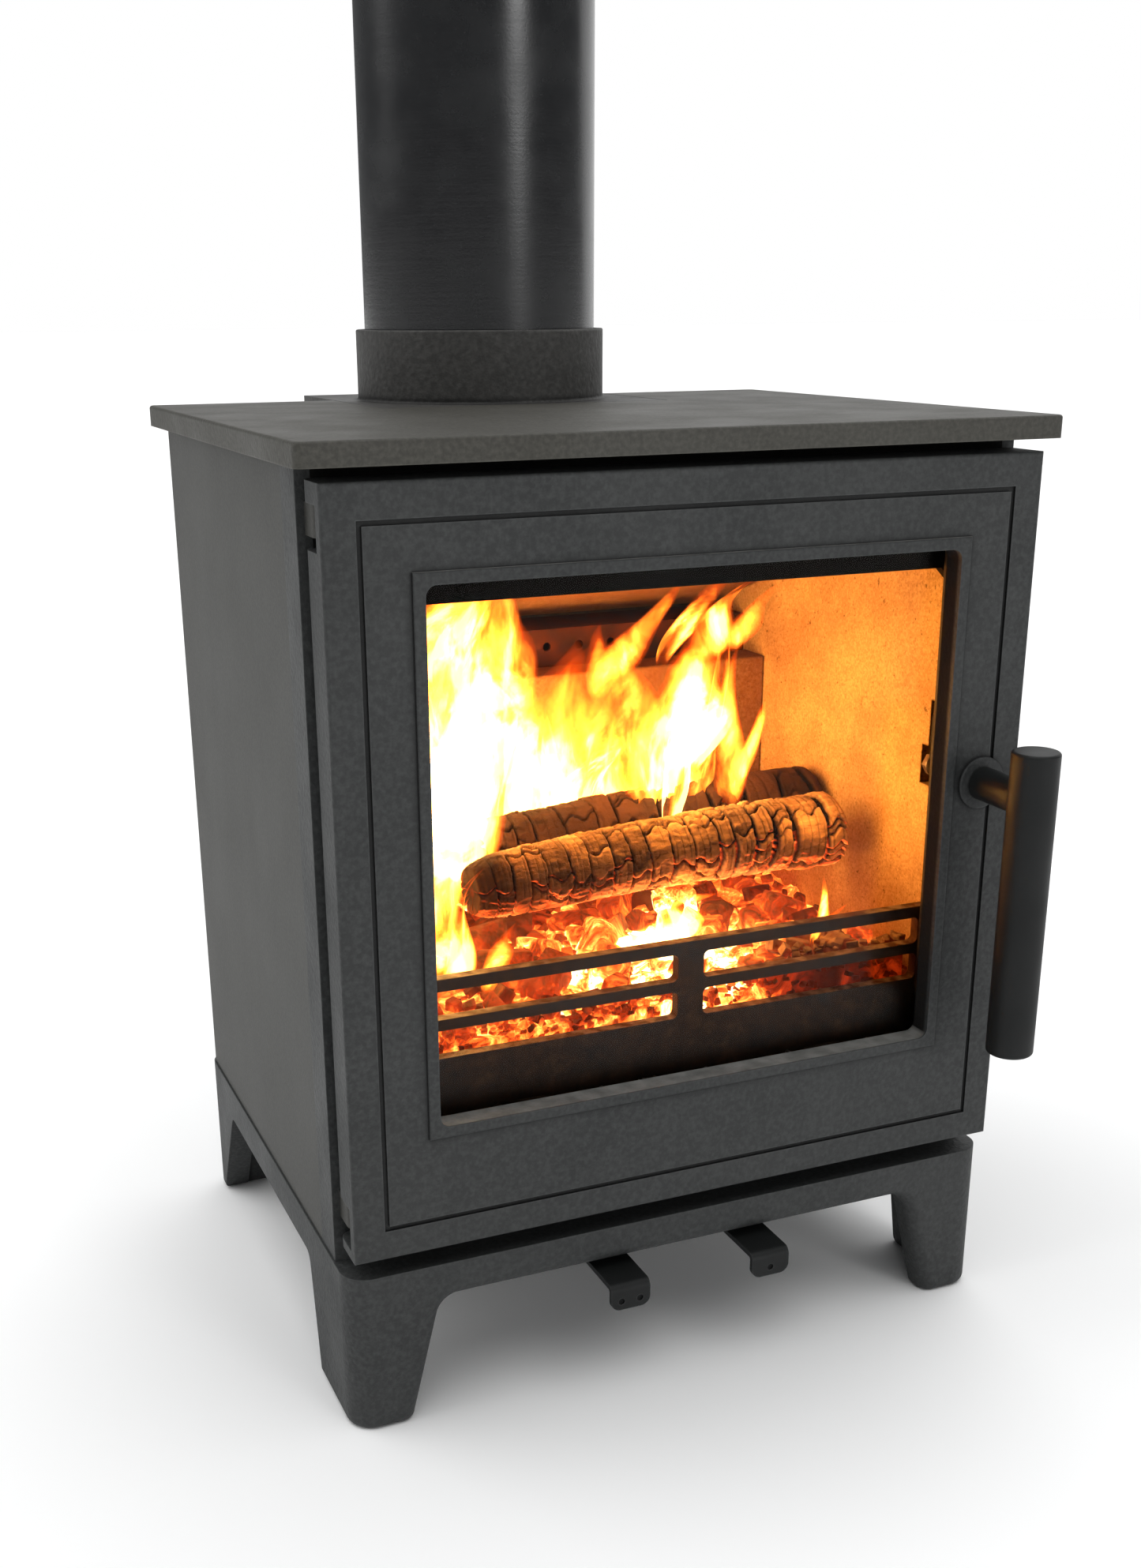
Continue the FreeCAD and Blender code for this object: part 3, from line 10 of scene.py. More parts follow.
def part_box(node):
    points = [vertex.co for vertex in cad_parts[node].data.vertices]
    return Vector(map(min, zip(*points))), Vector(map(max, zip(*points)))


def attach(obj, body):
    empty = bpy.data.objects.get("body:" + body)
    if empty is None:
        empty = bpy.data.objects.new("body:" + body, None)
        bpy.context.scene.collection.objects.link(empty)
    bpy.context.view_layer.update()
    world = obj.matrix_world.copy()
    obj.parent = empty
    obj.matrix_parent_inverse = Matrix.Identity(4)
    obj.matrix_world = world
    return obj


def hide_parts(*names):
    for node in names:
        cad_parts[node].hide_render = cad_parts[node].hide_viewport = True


# The looks of a small wood burning stove with a lit fire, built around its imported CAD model.
# Lengths are in metres, in the CAD model's own frame: X right, Y back, Z up, Z = 0 on the floor.

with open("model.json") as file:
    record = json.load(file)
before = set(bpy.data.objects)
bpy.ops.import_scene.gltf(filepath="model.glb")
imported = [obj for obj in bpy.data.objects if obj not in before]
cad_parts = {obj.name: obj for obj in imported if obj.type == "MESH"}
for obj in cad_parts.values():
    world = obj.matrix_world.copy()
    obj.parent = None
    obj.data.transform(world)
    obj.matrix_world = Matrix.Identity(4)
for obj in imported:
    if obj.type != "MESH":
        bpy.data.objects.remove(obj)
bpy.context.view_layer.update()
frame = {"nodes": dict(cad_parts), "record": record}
NODES = frame["nodes"]

MM = 0.001
ANY_ANGLE = 6.28  # the end of the range for an angle drawn at random, in radians
FRAME_DEPTH = 22 * MM
FRONT_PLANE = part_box("side_panel_left")[0].y - FRAME_DEPTH  # the front frame's front face


def add_object(name, data):
    """A new object in the scene."""
    made = bpy.data.objects.new(name, data)
    bpy.context.scene.collection.objects.link(made)
    return made


# -------- camera and studio

CAMERA_PLACE = Vector((-0.3614, -0.8307, 0.5094))
CAMERA_YAW = math.radians(-22.57)
CAMERA_PITCH = math.radians(-19.84)
CAMERA_ROLL = math.radians(-0.37)
CAMERA_LENS = 39.86
CAMERA_SHIFT = (0.0176, 0.0939)

PALE = 1.0
FLOOR_LIFT = 1.2  # makes up for the stove's shade
FLOOR_HALF = 40
AMBIENT = 0.17
SUNS = (
    # name, azimuth it shines from (0 is the front, positive to the right), height, width, strength
    ("side_sun", -116, 38, 60, 1.1),
    ("front_sun", 20, 14, 18, 0.6),
    ("top_sun", 10, 84, 70, 1.85),
    ("back_sun", 135, 30, 80, 1.3),
)


def add_camera():
    """The camera at the viewing angle of the reference."""
    turn = math.cos(CAMERA_PITCH)
    forward = Vector((-math.sin(CAMERA_YAW) * turn, math.cos(CAMERA_YAW) * turn, math.sin(CAMERA_PITCH)))
    right = Vector((math.cos(CAMERA_YAW), math.sin(CAMERA_YAW), 0))
    up = right.cross(forward)
    rolled_right = right * math.cos(CAMERA_ROLL) + up * math.sin(CAMERA_ROLL)
    rolled_up = up * math.cos(CAMERA_ROLL) - right * math.sin(CAMERA_ROLL)
    data = bpy.data.cameras.new("camera")
    data.lens = CAMERA_LENS
    data.shift_x, data.shift_y = CAMERA_SHIFT
    data.clip_start = 0.01
    camera = add_object("camera", data)
    axes = Matrix((rolled_right, rolled_up, -forward)).transposed()
    camera.matrix_world = Matrix.Translation(CAMERA_PLACE) @ axes.to_4x4()
    bpy.context.scene.camera = camera


def floor_light():
    """How bright an open white floor is under the world and the suns."""
    suns = sum(strength * math.sin(math.radians(height)) for _, _, height, _, strength in SUNS)
    return AMBIENT + suns / math.pi


def add_surround():
    """A world that the camera sees as pale and that lights the stove only a little."""
    world = bpy.data.worlds.new("studio")
    bpy.context.scene.world = world
    world.use_nodes = True
    nodes, links = world.node_tree.nodes, world.node_tree.links
    seen = nodes["Background"]
    seen.inputs["Color"].default_value = (PALE, PALE, PALE, 1)
    lit = nodes.new("ShaderNodeBackground")
    lit.inputs["Color"].default_value = (0.97, 0.99, 1.0, 1)
    lit.inputs["Strength"].default_value = AMBIENT
    path = nodes.new("ShaderNodeLightPath")
    mix = nodes.new("ShaderNodeMixShader")
    links.new(path.outputs["Is Camera Ray"], mix.inputs["Fac"])
    links.new(lit.outputs[0], mix.inputs[1])
    links.new(seen.outputs[0], mix.inputs[2])
    links.new(mix.outputs[0], nodes["World Output"].inputs["Surface"])


def add_suns():
    """Soft suns, each as wide as a large studio lamp looks from the stove."""
    for name, azimuth, height, width, strength in SUNS:
        sun = bpy.data.lights.new(name, "SUN")
        sun.energy = strength
        sun.angle = math.radians(width)
        lamp = add_object(name, sun)
        lamp.rotation_euler = (math.radians(90 - height), 0, math.radians(azimuth))


def add_floor():
    """A wide white floor that comes out white under this light."""
    square = ((-1, -1), (1, -1), (1, 1), (-1, 1))
    corners = [(x * FLOOR_HALF, y * FLOOR_HALF, 0) for x, y in square]
    mesh = bpy.data.meshes.new("floor")
    mesh.from_pydata(corners, [], [(0, 1, 2, 3)])
    floor = add_object("floor", mesh)
    material = Shader("floor_paper")
    shade = PALE * FLOOR_LIFT / floor_light()
    material.principled(color=(shade, shade, shade), roughness=1.0, specular=0.0)
    mesh.materials.append(material.material)


# -------- shader building

class Shader:
    """A node material under construction, with short calls for the nodes that it needs."""

    def __init__(self, name):
        self.material = bpy.data.materials.new(name)
        self.material.use_nodes = True
        self.tree = self.material.node_tree
        self.tree.nodes.clear()
        self.output = self.tree.nodes.new("ShaderNodeOutputMaterial")
        self.at = self.node("ShaderNodeTexCoord").outputs

    def node(self, kind, **settings):
        made = self.tree.nodes.new(kind)
        for name, value in settings.items():
            setattr(made, name, value)
        return made

    def feed(self, socket, value):
        """Links a socket, or sets a plain value or colour on it."""
        if isinstance(value, bpy.types.NodeSocket):
            self.tree.links.new(value, socket)
        elif socket.type == "RGBA":
            socket.default_value = (*value, 1)
        else:
            socket.default_value = value

    def where(self, stretch=(1, 1, 1)):
        """The point on the object in its own frame, stretched along its axes."""
        if stretch == (1, 1, 1):
            return self.at["Object"]
        mapping = self.node("ShaderNodeMapping")
        self.feed(mapping.inputs["Vector"], self.at["Object"])
        mapping.inputs["Scale"].default_value = stretch
        return mapping.outputs["Vector"]

    def noise(self, scale, detail, roughness=0.5, distortion=0, stretch=(1, 1, 1)):
        made = self.node("ShaderNodeTexNoise")
        self.feed(made.inputs["Vector"], self.where(stretch))
        settings = dict(Scale=scale, Detail=detail, Roughness=roughness, Distortion=distortion)
        for key, value in settings.items():
            made.inputs[key].default_value = value
        return made.outputs["Fac"]

    def cells(self, scale, output="Distance"):
        made = self.node("ShaderNodeTexVoronoi")
        self.feed(made.inputs["Vector"], self.where())
        made.inputs["Scale"].default_value = scale
        return made.outputs[output]

    def attribute(self, name):
        return self.node("ShaderNodeAttribute", attribute_name=name).outputs["Fac"]

    def ramp(self, value, *stops):
        """A colour ramp through (position, colour) stops."""
        made = self.node("ShaderNodeValToRGB")
        while len(made.color_ramp.elements) < len(stops):
            made.color_ramp.elements.new(1.0)
        for element, (position, colour) in zip(made.color_ramp.elements, stops):
            element.position = position
            element.color = (*colour, 1)
        self.feed(made.inputs["Fac"], value)
        return made.outputs["Color"]

    def math(self, operation, first, second=0.0, clamp=False):
        made = self.node("ShaderNodeMath", operation=operation, use_clamp=clamp)
        self.feed(made.inputs[0], first)
        self.feed(made.inputs[1], second)
        return made.outputs[0]

    def times(self, first, second, clamp=False):
        return self.math("MULTIPLY", first, second, clamp)

    def plus(self, first, second, clamp=False):
        return self.math("ADD", first, second, clamp)

    def below(self, value, limit):
        return self.math("LESS_THAN", value, limit)

    def above(self, value, limit):
        return self.math("GREATER_THAN", value, limit)

    def remap(self, value, low, high, new_low=0, new_high=1):
        made = self.node("ShaderNodeMapRange")
        for socket, number in zip(made.inputs, (value, low, high, new_low, new_high)):
            self.feed(socket, number)
        return made.outputs[0]

    def blend(self, factor, first, second):
        """The first colour at 0 and the second at 1."""
        made = self.node("ShaderNodeMix", data_type="RGBA")
        self.feed(made.inputs["Factor"], factor)
        self.feed(made.inputs[6], first)
        self.feed(made.inputs[7], second)
        return made.outputs[2]

    def parts(self, vector):
        made = self.node("ShaderNodeSeparateXYZ")
        self.feed(made.inputs[0], vector)
        return made.outputs

    def split(self):
        """The three coordinates of the point on the object."""
        return self.parts(self.where())

    def grey(self, colour):
        made = self.node("ShaderNodeSeparateColor")
        self.feed(made.inputs[0], colour)
        return made.outputs[0]

    def diagonal(self, sign):
        """A coordinate that runs across the knit one way or the other."""
        axes = self.split()
        along = self.plus(axes["X"], axes["Z"])
        across = self.plus(axes["Y"], self.math("SUBTRACT", axes["X"], axes["Z"]))
        return self.plus(along, self.times(across, sign))

    def facing(self):
        """The three parts of the surface's direction, in the object's own frame."""
        return self.parts(self.at["Normal"])

    def soft_normal(self, radius):
        """The surface normal with its edges rounded over."""
        bevel = self.node("ShaderNodeBevel", samples=4)
        bevel.inputs["Radius"].default_value = radius
        return bevel.outputs[0]

    def edges(self, radius, low=0.02, high=0.25):
        """Near 1 on outer and inner edges, 0 on flat faces."""
        dot = self.node("ShaderNodeVectorMath", operation="DOT_PRODUCT")
        self.feed(dot.inputs[0], self.soft_normal(radius))
        self.feed(dot.inputs[1], self.node("ShaderNodeNewGeometry").outputs["Normal"])
        return self.remap(self.math("SUBTRACT", 1.0, dot.outputs["Value"]), low, high)

    def crease_shade(self, distance):
        """Near 1 in the foot of a step or a groove, 0 on open faces: where shade is painted in."""
        shade = self.node("ShaderNodeAmbientOcclusion", samples=4, only_local=True)
        shade.inputs["Distance"].default_value = distance
        return self.remap(shade.outputs["AO"], 0.96, 0.7)

    def bump(self, height, distance, strength=1.0, under=None):
        made = self.node("ShaderNodeBump")
        self.feed(made.inputs["Height"], height)
        made.inputs["Distance"].default_value = distance
        made.inputs["Strength"].default_value = strength
        if under is not None:
            self.feed(made.inputs["Normal"], under)
        return made.outputs["Normal"]

    def principled(self, color, roughness, specular=0.5, metallic=0.0, normal=None, **others):
        made = self.node("ShaderNodeBsdfPrincipled")
        self.feed(made.inputs["Base Color"], color)
        self.feed(made.inputs["Roughness"], roughness)
        self.feed(made.inputs["Specular IOR Level"], specular)
        self.feed(made.inputs["Metallic"], metallic)
        if normal is not None:
            self.feed(made.inputs["Normal"], normal)
        for name, value in others.items():
            self.feed(made.inputs[name.replace("_", " ")], value)
        self.feed(self.output.inputs["Surface"], made.outputs[0])


# -------- materials of the stove

PAINT_DARK, PAINT_LIGHT = (0.026, 0.0275, 0.0278), (0.034, 0.0355, 0.0352)
# Black for soot, and for painted shade.
SOOT_AND_SHADE = (0.006, 0.0055, 0.005)


def cast_paint(name, dark, light, pebble=560, depth=0.24 * MM,
               soot_and_shade_zone=None, dust_and_light_zone=None, specular=0.28):
    """Matt stove paint over a sand-cast surface: fine pebbles, faint blotches, edges painted lighter for
    wear and as a painted highlight, painted shade in creases.
    A zone is a function that gives 1 where it applies: the soot zone paints the surface black, for soot
    and for painted shade, and the dust zone paints it pale grey, for ash dust and for painted light."""
    s = Shader(name)
    blotch = s.noise(7, detail=4, roughness=0.6)
    speck = s.noise(pebble * 0.8, detail=2)
    tone = s.blend(s.remap(blotch, 0.3, 0.7), dark, light)
    tone = s.blend(s.remap(speck, 0.38, 0.72, 0.0, 0.6), tone, tuple(c * 1.7 for c in light))
    # Edges painted lighter: worn paint, and a painted highlight on their rounding.
    wear_and_highlight = s.times(s.edges(1.2 * MM), s.noise(90, detail=4))
    tone = s.blend(s.times(wear_and_highlight, 0.9), tone, tuple(c * 3.2 for c in light))
    # Painted shade: the foot of steps and grooves darkened.
    tone = s.blend(s.crease_shade(4.5 * MM), tone, tuple(c * 0.18 for c in dark))
    grain = s.plus(s.noise(pebble, detail=3, roughness=0.6),
                   s.times(s.cells(pebble * 0.7), 0.6))
    uneven = s.noise(38, detail=3)
    normal = s.bump(uneven, 0.5 * MM, 0.5, s.soft_normal(0.7 * MM))
    normal = s.bump(grain, depth, 1.0, normal)
    rough = s.remap(s.noise(24, detail=4), 0.3, 0.7, 0.52, 0.66)
    # Painted pale where the zone says: ash dust, and painted light.
    if dust_and_light_zone:
        lying = s.times(dust_and_light_zone(s), s.remap(s.noise(110, detail=5), 0.3, 0.65, 0.45, 1.0))
        tone = s.blend(lying, tone, (0.24, 0.24, 0.225))
    # The zone's faces painted black: soot, and painted shade.
    if soot_and_shade_zone:
        zone = soot_and_shade_zone(s)
        tone = s.blend(zone, tone, SOOT_AND_SHADE)
        rough = s.plus(rough, s.times(zone, 0.4), clamp=True)
    s.principled(tone, rough, specular=specular, normal=normal)
    return s.material


def framed_paint(name):
    """Paint on the body's front frame, painted black where the door covers it: soot, and painted shade."""
    low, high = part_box("door_rope")

    # Where the door covers the frame: black for soot and for painted shade.
    def covered(s):
        axes = s.split()
        inside = s.below(s.math("ABSOLUTE", axes["X"]), high.x)
        return s.times(inside, s.above(axes["Z"], low.z))

    return cast_paint(name, PAINT_DARK, PAINT_LIGHT, soot_and_shade_zone=covered)


def window_paint(name):
    """Paint on the door casting: the window reveal's sides and head painted black as painted shade, soot
    on the fire's side, ash dust and painted light on the sill.
    """
    low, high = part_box("glass_pane")
    rope_low, rope_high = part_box("door_rope")
    rope_width = 8 * MM
    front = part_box("door_frame")[0].y

    def window(s, start, end):
        """The window's reveal, from one depth behind the door's front to another."""
        axes = s.split()
        within = s.below(s.math("ABSOLUTE", axes["X"]), high.x)
        over_sill = s.above(axes["Z"], low.z)
        under_head = s.below(axes["Z"], high.z)
        deep = s.remap(axes["Y"], front + start, front + end)
        return s.times(s.times(within, over_sill), s.times(under_head, deep))

    def inner_face(s):
        """The door's back inside the rope, blackened in clouds."""
        axes = s.split()
        within = s.below(s.math("ABSOLUTE", axes["X"]), rope_high.x - rope_width)
        within = s.times(within, s.above(axes["Z"], rope_low.z + 6 * MM))
        smoke = s.remap(s.noise(26, detail=4), 0.35, 0.6, 0.55, 0.95)
        return s.times(s.times(within, smoke), s.above(s.facing()["Y"], 0.5))

    # The reveal's side and head faces painted black as painted shade; the door's back inside the rope
    # blackened with soot.
    def sooted(s):
        sides = s.times(window(s, 1.5 * MM, 3.5 * MM), s.below(s.facing()["Z"], 0.5))
        return s.math("MAXIMUM", sides, inner_face(s))

    # The sill's upward face painted pale: ash dust, and painted light on a face that the window's head
    # shades.
    def dust_and_light(s):
        return s.times(window(s, 0.3 * MM, 1.2 * MM), s.remap(s.facing()["Z"], 0.4, 0.8))

    return cast_paint(name, PAINT_DARK, PAINT_LIGHT, soot_and_shade_zone=sooted, dust_and_light_zone=dust_and_light)


def steel_paint(name, dark, light):
    """Matt stove paint sprayed on plate: a fine even tooth with faint upright streaks."""
    s = Shader(name)
    streak = s.noise(14, detail=4, roughness=0.65, stretch=(2.0, 2.0, 0.6))
    tone = s.blend(s.remap(streak, 0.2, 0.8), dark, light)
    speck = s.noise(700, detail=2)
    tone = s.blend(s.remap(speck, 0.4, 0.75, 0.0, 0.4), tone, tuple(c * 1.8 for c in light))
    # Edges painted lighter: worn paint, and a painted highlight.
    wear_and_highlight = s.times(s.edges(1.0 * MM), s.noise(110, detail=4))
    tone = s.blend(s.times(wear_and_highlight, 0.5), tone, tuple(c * 2.3 for c in light))
    normal = s.bump(s.noise(45, detail=3), 0.12 * MM, 0.5, s.soft_normal(0.5 * MM))
    normal = s.bump(s.noise(800, detail=3), 0.1 * MM, 1.0, normal)
    rough = s.remap(s.noise(19, detail=4), 0.2, 0.8, 0.54, 0.6)
    s.principled(tone, rough, specular=0.24, normal=normal)
    return s.material


def pipe_paint():
    """Satin black flue paint with a soft sheen, lightly mottled and flecked with pale dust specks."""
    s = Shader("flue_black")
    mottle = s.noise(30, detail=5, roughness=0.6)
    tone = s.blend(s.remap(mottle, 0.3, 0.75), (0.006, 0.0064, 0.0075), (0.011, 0.0115, 0.0125))
    speck = s.remap(s.noise(900, detail=2), 0.62, 0.75, 0, 0.5)
    tone = s.blend(speck, tone, (0.03, 0.03, 0.032))
    turned = s.noise(60, detail=3, stretch=(0.3, 0.3, 6.0))
    normal = s.bump(turned, 0.05 * MM, 0.6)
    normal = s.bump(s.noise(800, detail=2), 0.03 * MM, 1.0, normal)
    rough = s.remap(mottle, 0.3, 0.7, 0.22, 0.31)
    s.principled(tone, rough, specular=0.5, normal=normal)
    return s.material


def handle_paint():
    """Smooth charcoal powder coat with a fine tooth and a little shine, its edges painted lighter: worn
    paint and a painted highlight.
    """
    s = Shader("handle_charcoal")
    cloud = s.remap(s.noise(24, detail=4), 0.3, 0.7)
    tone = s.blend(cloud, (0.008, 0.0088, 0.0088), (0.013, 0.0138, 0.0138))
    # Edges painted light grey: worn paint, and a painted highlight.
    wear_and_highlight = s.times(s.edges(0.9 * MM), s.noise(160, detail=4))
    tone = s.blend(s.times(wear_and_highlight, 0.6), tone, (0.16, 0.16, 0.16))
    normal = s.bump(s.noise(1300, detail=2), 0.04 * MM, 1.0, s.soft_normal(0.5 * MM))
    s.principled(tone, s.remap(s.noise(40, detail=4), 0.3, 0.7, 0.45, 0.58), specular=0.2, normal=normal)
    return s.material


def hot_cast_iron():
    """Bare cast iron browned by fire and painted a warmer brown as painted firelight, scaled and dusted
    with ash.
    """
    s = Shader("browned_firelit_cast_iron")
    scale = s.noise(60, detail=5, roughness=0.65)
    # The brown stops are partly heat oxide and partly painted firelight.
    tone = s.ramp(scale, (0.3, (0.017, 0.008, 0.005)), (0.55, (0.062, 0.027, 0.013)),
                  (0.75, (0.13, 0.06, 0.03)))
    level = s.remap(s.facing()["Z"], 0.6, 1.0)
    ash = s.times(level, s.remap(s.noise(140, detail=5), 0.4, 0.6, 0, 0.7))
    tone = s.blend(ash, tone, (0.3, 0.26, 0.22))
    normal = s.bump(s.noise(420, detail=4, roughness=0.6), 0.22 * MM, 1.0, s.soft_normal(0.6 * MM))
    s.principled(tone, s.remap(scale, 0.3, 0.7, 0.45, 0.75), specular=0.4, metallic=0.25, normal=normal)
    return s.material


def soot_black():
    """Sooted inner steel and iron, dull and powdery with brown heat marks."""
    s = Shader("sooted_steel")
    marks = s.noise(22, detail=5, roughness=0.65)
    tone = s.ramp(marks, (0.3, (0.008, 0.007, 0.0065)), (0.6, (0.024, 0.017, 0.012)),
                  (0.8, (0.06, 0.036, 0.022)))
    normal = s.bump(s.noise(500, detail=4), 0.12 * MM, 1.0, s.soft_normal(0.5 * MM))
    s.principled(tone, s.remap(marks, 0.3, 0.7, 0.7, 0.9), specular=0.25, normal=normal)
    return s.material


def scaled_steel():
    """Steel plate in the flames: deep red-brown scale that flakes in patches over soot."""
    s = Shader("scaled_steel")
    patch = s.noise(48, detail=5, roughness=0.65)
    tone = s.ramp(patch, (0.35, (0.012, 0.004, 0.003)), (0.55, (0.055, 0.013, 0.006)),
                  (0.75, (0.12, 0.032, 0.012)))
    normal = s.bump(s.noise(300, detail=4, roughness=0.65), 0.25 * MM, 1.0, s.soft_normal(0.5 * MM))
    s.principled(tone, s.remap(patch, 0.3, 0.7, 0.65, 0.85), specular=0.2, normal=normal)
    return s.material


def vermiculite(name, flake_low, flake_high, soot):
    """Pressed vermiculite board: fine gold and grey flakes, dark spots of painted shade for pin holes,
    soot and crumbling edges.
    """
    s = Shader(name)
    flake = s.grey(s.cells(900, output="Color"))
    tone = s.blend(flake, flake_low, flake_high)
    dark_speck = s.remap(s.noise(650, detail=3), 0.6, 0.7, 0, 0.6)
    tone = s.blend(dark_speck, tone, tuple(c * 0.35 for c in flake_low))
    smoke = s.remap(s.noise(16, detail=5, roughness=0.6), 0.38, 0.66, 0, soot)
    tone = s.blend(smoke, tone, (0.16, 0.055, 0.02))
    # Pin holes drawn only as dark spots: painted shade.
    pin_hole_shade = s.remap(s.noise(260, detail=4, roughness=0.7), 0.62, 0.7, 0, 0.75)
    tone = s.blend(pin_hole_shade, tone, (0.06, 0.025, 0.012))
    crumbled = s.times(s.edges(2.5 * MM, 0.02, 0.2), s.noise(130, detail=4))
    tone = s.blend(s.times(crumbled, 1.6, clamp=True), tone, (0.05, 0.025, 0.015))
    grain = s.plus(s.noise(420, detail=4, roughness=0.65), s.times(s.cells(500), 0.5))
    normal = s.bump(grain, 0.35 * MM, 1.0, s.soft_normal(1.5 * MM))
    s.principled(tone, 0.93, specular=0.12, normal=normal)
    return s.material


def bright_steel(name, tone_low, tone_high, rough_low, rough_high, metallic):
    """Machined or plated steel with turning marks and dull patches."""
    s = Shader(name)
    patch = s.noise(160, detail=4, roughness=0.6)
    tone = s.blend(s.remap(patch, 0.3, 0.7), tone_low, tone_high)
    normal = s.bump(s.noise(1500, detail=2), 0.02 * MM, 1.0, s.soft_normal(0.3 * MM))
    s.principled(tone, s.remap(patch, 0.3, 0.7, rough_low, rough_high), metallic=metallic, normal=normal)
    return s.material


def fibre(name, tone_low, tone_high, weave):
    """Glass fibre rope or tape: a soft diagonal knit with loose hairs and soot."""
    s = Shader(name)
    knit = s.times(s.math("SINE", s.times(s.diagonal(1), weave)),
                  s.math("SINE", s.times(s.diagonal(-1), weave)))
    hairs = s.noise(1200, detail=3)
    tone = s.blend(s.remap(knit, -1, 1), tone_low, tone_high)
    dirt = s.remap(s.noise(30, detail=3), 0.5, 0.75, 0, 0.5)
    tone = s.blend(dirt, tone, tuple(c * 0.5 for c in tone_low))
    height = s.plus(knit, s.times(hairs, 0.8))
    s.principled(tone, 0.95, specular=0.1, normal=s.bump(height, 0.35 * MM))
    return s.material


def glass():
    """Clear ceramic fire glass, a little brown where smoke has touched it."""
    s = Shader("fire_glass")
    stain = s.remap(s.noise(16, detail=4), 0.4, 0.75)
    tone = s.blend(stain, (0.99, 0.98, 0.96), (0.95, 0.9, 0.84))
    s.principled(tone, 0.0, specular=0.1, IOR=1.12, Transmission_Weight=1.0)
    return s.material


def dress_nodes():
    """Gives every CAD node the finish of its record slot, or its own where it looks different."""
    sooted = soot_black()
    finishes = {
        "painted_steel": steel_paint("side_paint", (0.033, 0.0325, 0.0292), (0.043, 0.0422, 0.038)),
        "painted_cast_iron": cast_paint("cast_paint", PAINT_DARK, PAINT_LIGHT),
        "cast_iron_inner": hot_cast_iron(),
        "flue_black": pipe_paint(),
        "handle_paint": handle_paint(),
        "bare_steel": sooted,
        "zinc_steel": bright_steel("zinc_plate", (0.2, 0.19, 0.18), (0.38, 0.36, 0.33), 0.35, 0.55, 0.9),
        "vermiculite": vermiculite("vermiculite_board", (0.5, 0.34, 0.18), (0.68, 0.5, 0.29), 0.5),
        "rope": fibre("rope_knit", (0.06, 0.058, 0.055), (0.16, 0.155, 0.15), 1900),
        "tape": fibre("tape_knit", (0.1, 0.1, 0.1), (0.25, 0.25, 0.24), 2600),
        "stove_glass": glass(),
        "bronze": bright_steel("bronze_bush", (0.25, 0.13, 0.05), (0.42, 0.25, 0.1), 0.3, 0.5, 0.95),
        "wood_log": sooted,
        "embers": sooted,
    }
    sooted_brick = vermiculite("sooted_board", (0.2, 0.1, 0.05), (0.3, 0.17, 0.09), 0.8)
    special = {
        "flue_collar": cast_paint("collar_paint", (0.034, 0.0332, 0.031), (0.05, 0.0487, 0.046),
                                  pebble=420, depth=0.3 * MM),
        # The top plate's paint is painted lighter and warmer than the door's: painted light from above.
        "top_plate": cast_paint("top_paint", (0.038, 0.0362, 0.03), (0.048, 0.0462, 0.039), specular=0.33),
        "rear_air_duct": scaled_steel(),
        "brick_back": sooted_brick,
        "throat_plate": sooted_brick,
        "front_frame": framed_paint("frame_paint"),
        "door_frame": window_paint("door_paint"),
    }
    for part in frame["record"]["subparts"]:
        mesh = NODES[part["node"]].data
        finish = special.get(part["node"], finishes[part["material_slot"]])
        mesh.materials.clear()
        mesh.materials.append(finish)


# -------- mesh building

def add_piece(name, verts, faces, material, body="stove_body", smooth=True, attributes=None):
    """A new mesh piece that rides on a body, with optional per-vertex attributes."""
    mesh = bpy.data.meshes.new(name)
    mesh.from_pydata([tuple(v) for v in verts], [], [tuple(f) for f in faces])
    mesh.update()
    for key, values in (attributes or {}).items():
        layer = mesh.attributes.new(key, "FLOAT", "POINT")
        layer.data.foreach_set("value", np.asarray(values, np.float32))
    if smooth:
        mesh.shade_smooth()
    else:
        mesh.shade_flat()
    mesh.materials.append(material)
    piece = add_object(name, mesh)
    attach(piece, body)
    return piece


def tube_faces(rings, around, closed=False):
    """Quads between rings of points. An open tube's end fans use two centre points, listed last."""
    ring = np.arange(rings if closed else rings - 1)[:, None]
    step = np.arange(around)[None, :]
    after, turn = (ring + 1) % rings, (step + 1) % around
    quads = np.stack([ring * around + step, ring * around + turn,
                      after * around + turn, after * around + step], -1).reshape(-1, 4)
    faces = [tuple(int(i) for i in q) for q in quads]
    if not closed:
        low, high = rings * around, rings * around + 1
        last = (rings - 1) * around
        faces += [(low, (i + 1) % around, i) for i in range(around)]
        faces += [(high, last + i, last + (i + 1) % around) for i in range(around)]
    return faces


def smoothstep(low, high, value):
    """Rises from 0 at low to 1 at high with level ends."""
    t = np.clip((value - low) / (high - low), 0, 1)
    return t * t * (3 - 2 * t)


def fractal(points, scale, octaves=3):
    """Smooth noise from -1 to 1 at each point."""
    return np.array([noise.fractal(Vector(p) * scale, 0.9, 2.1, octaves) for p in points])


# -------- the door rope

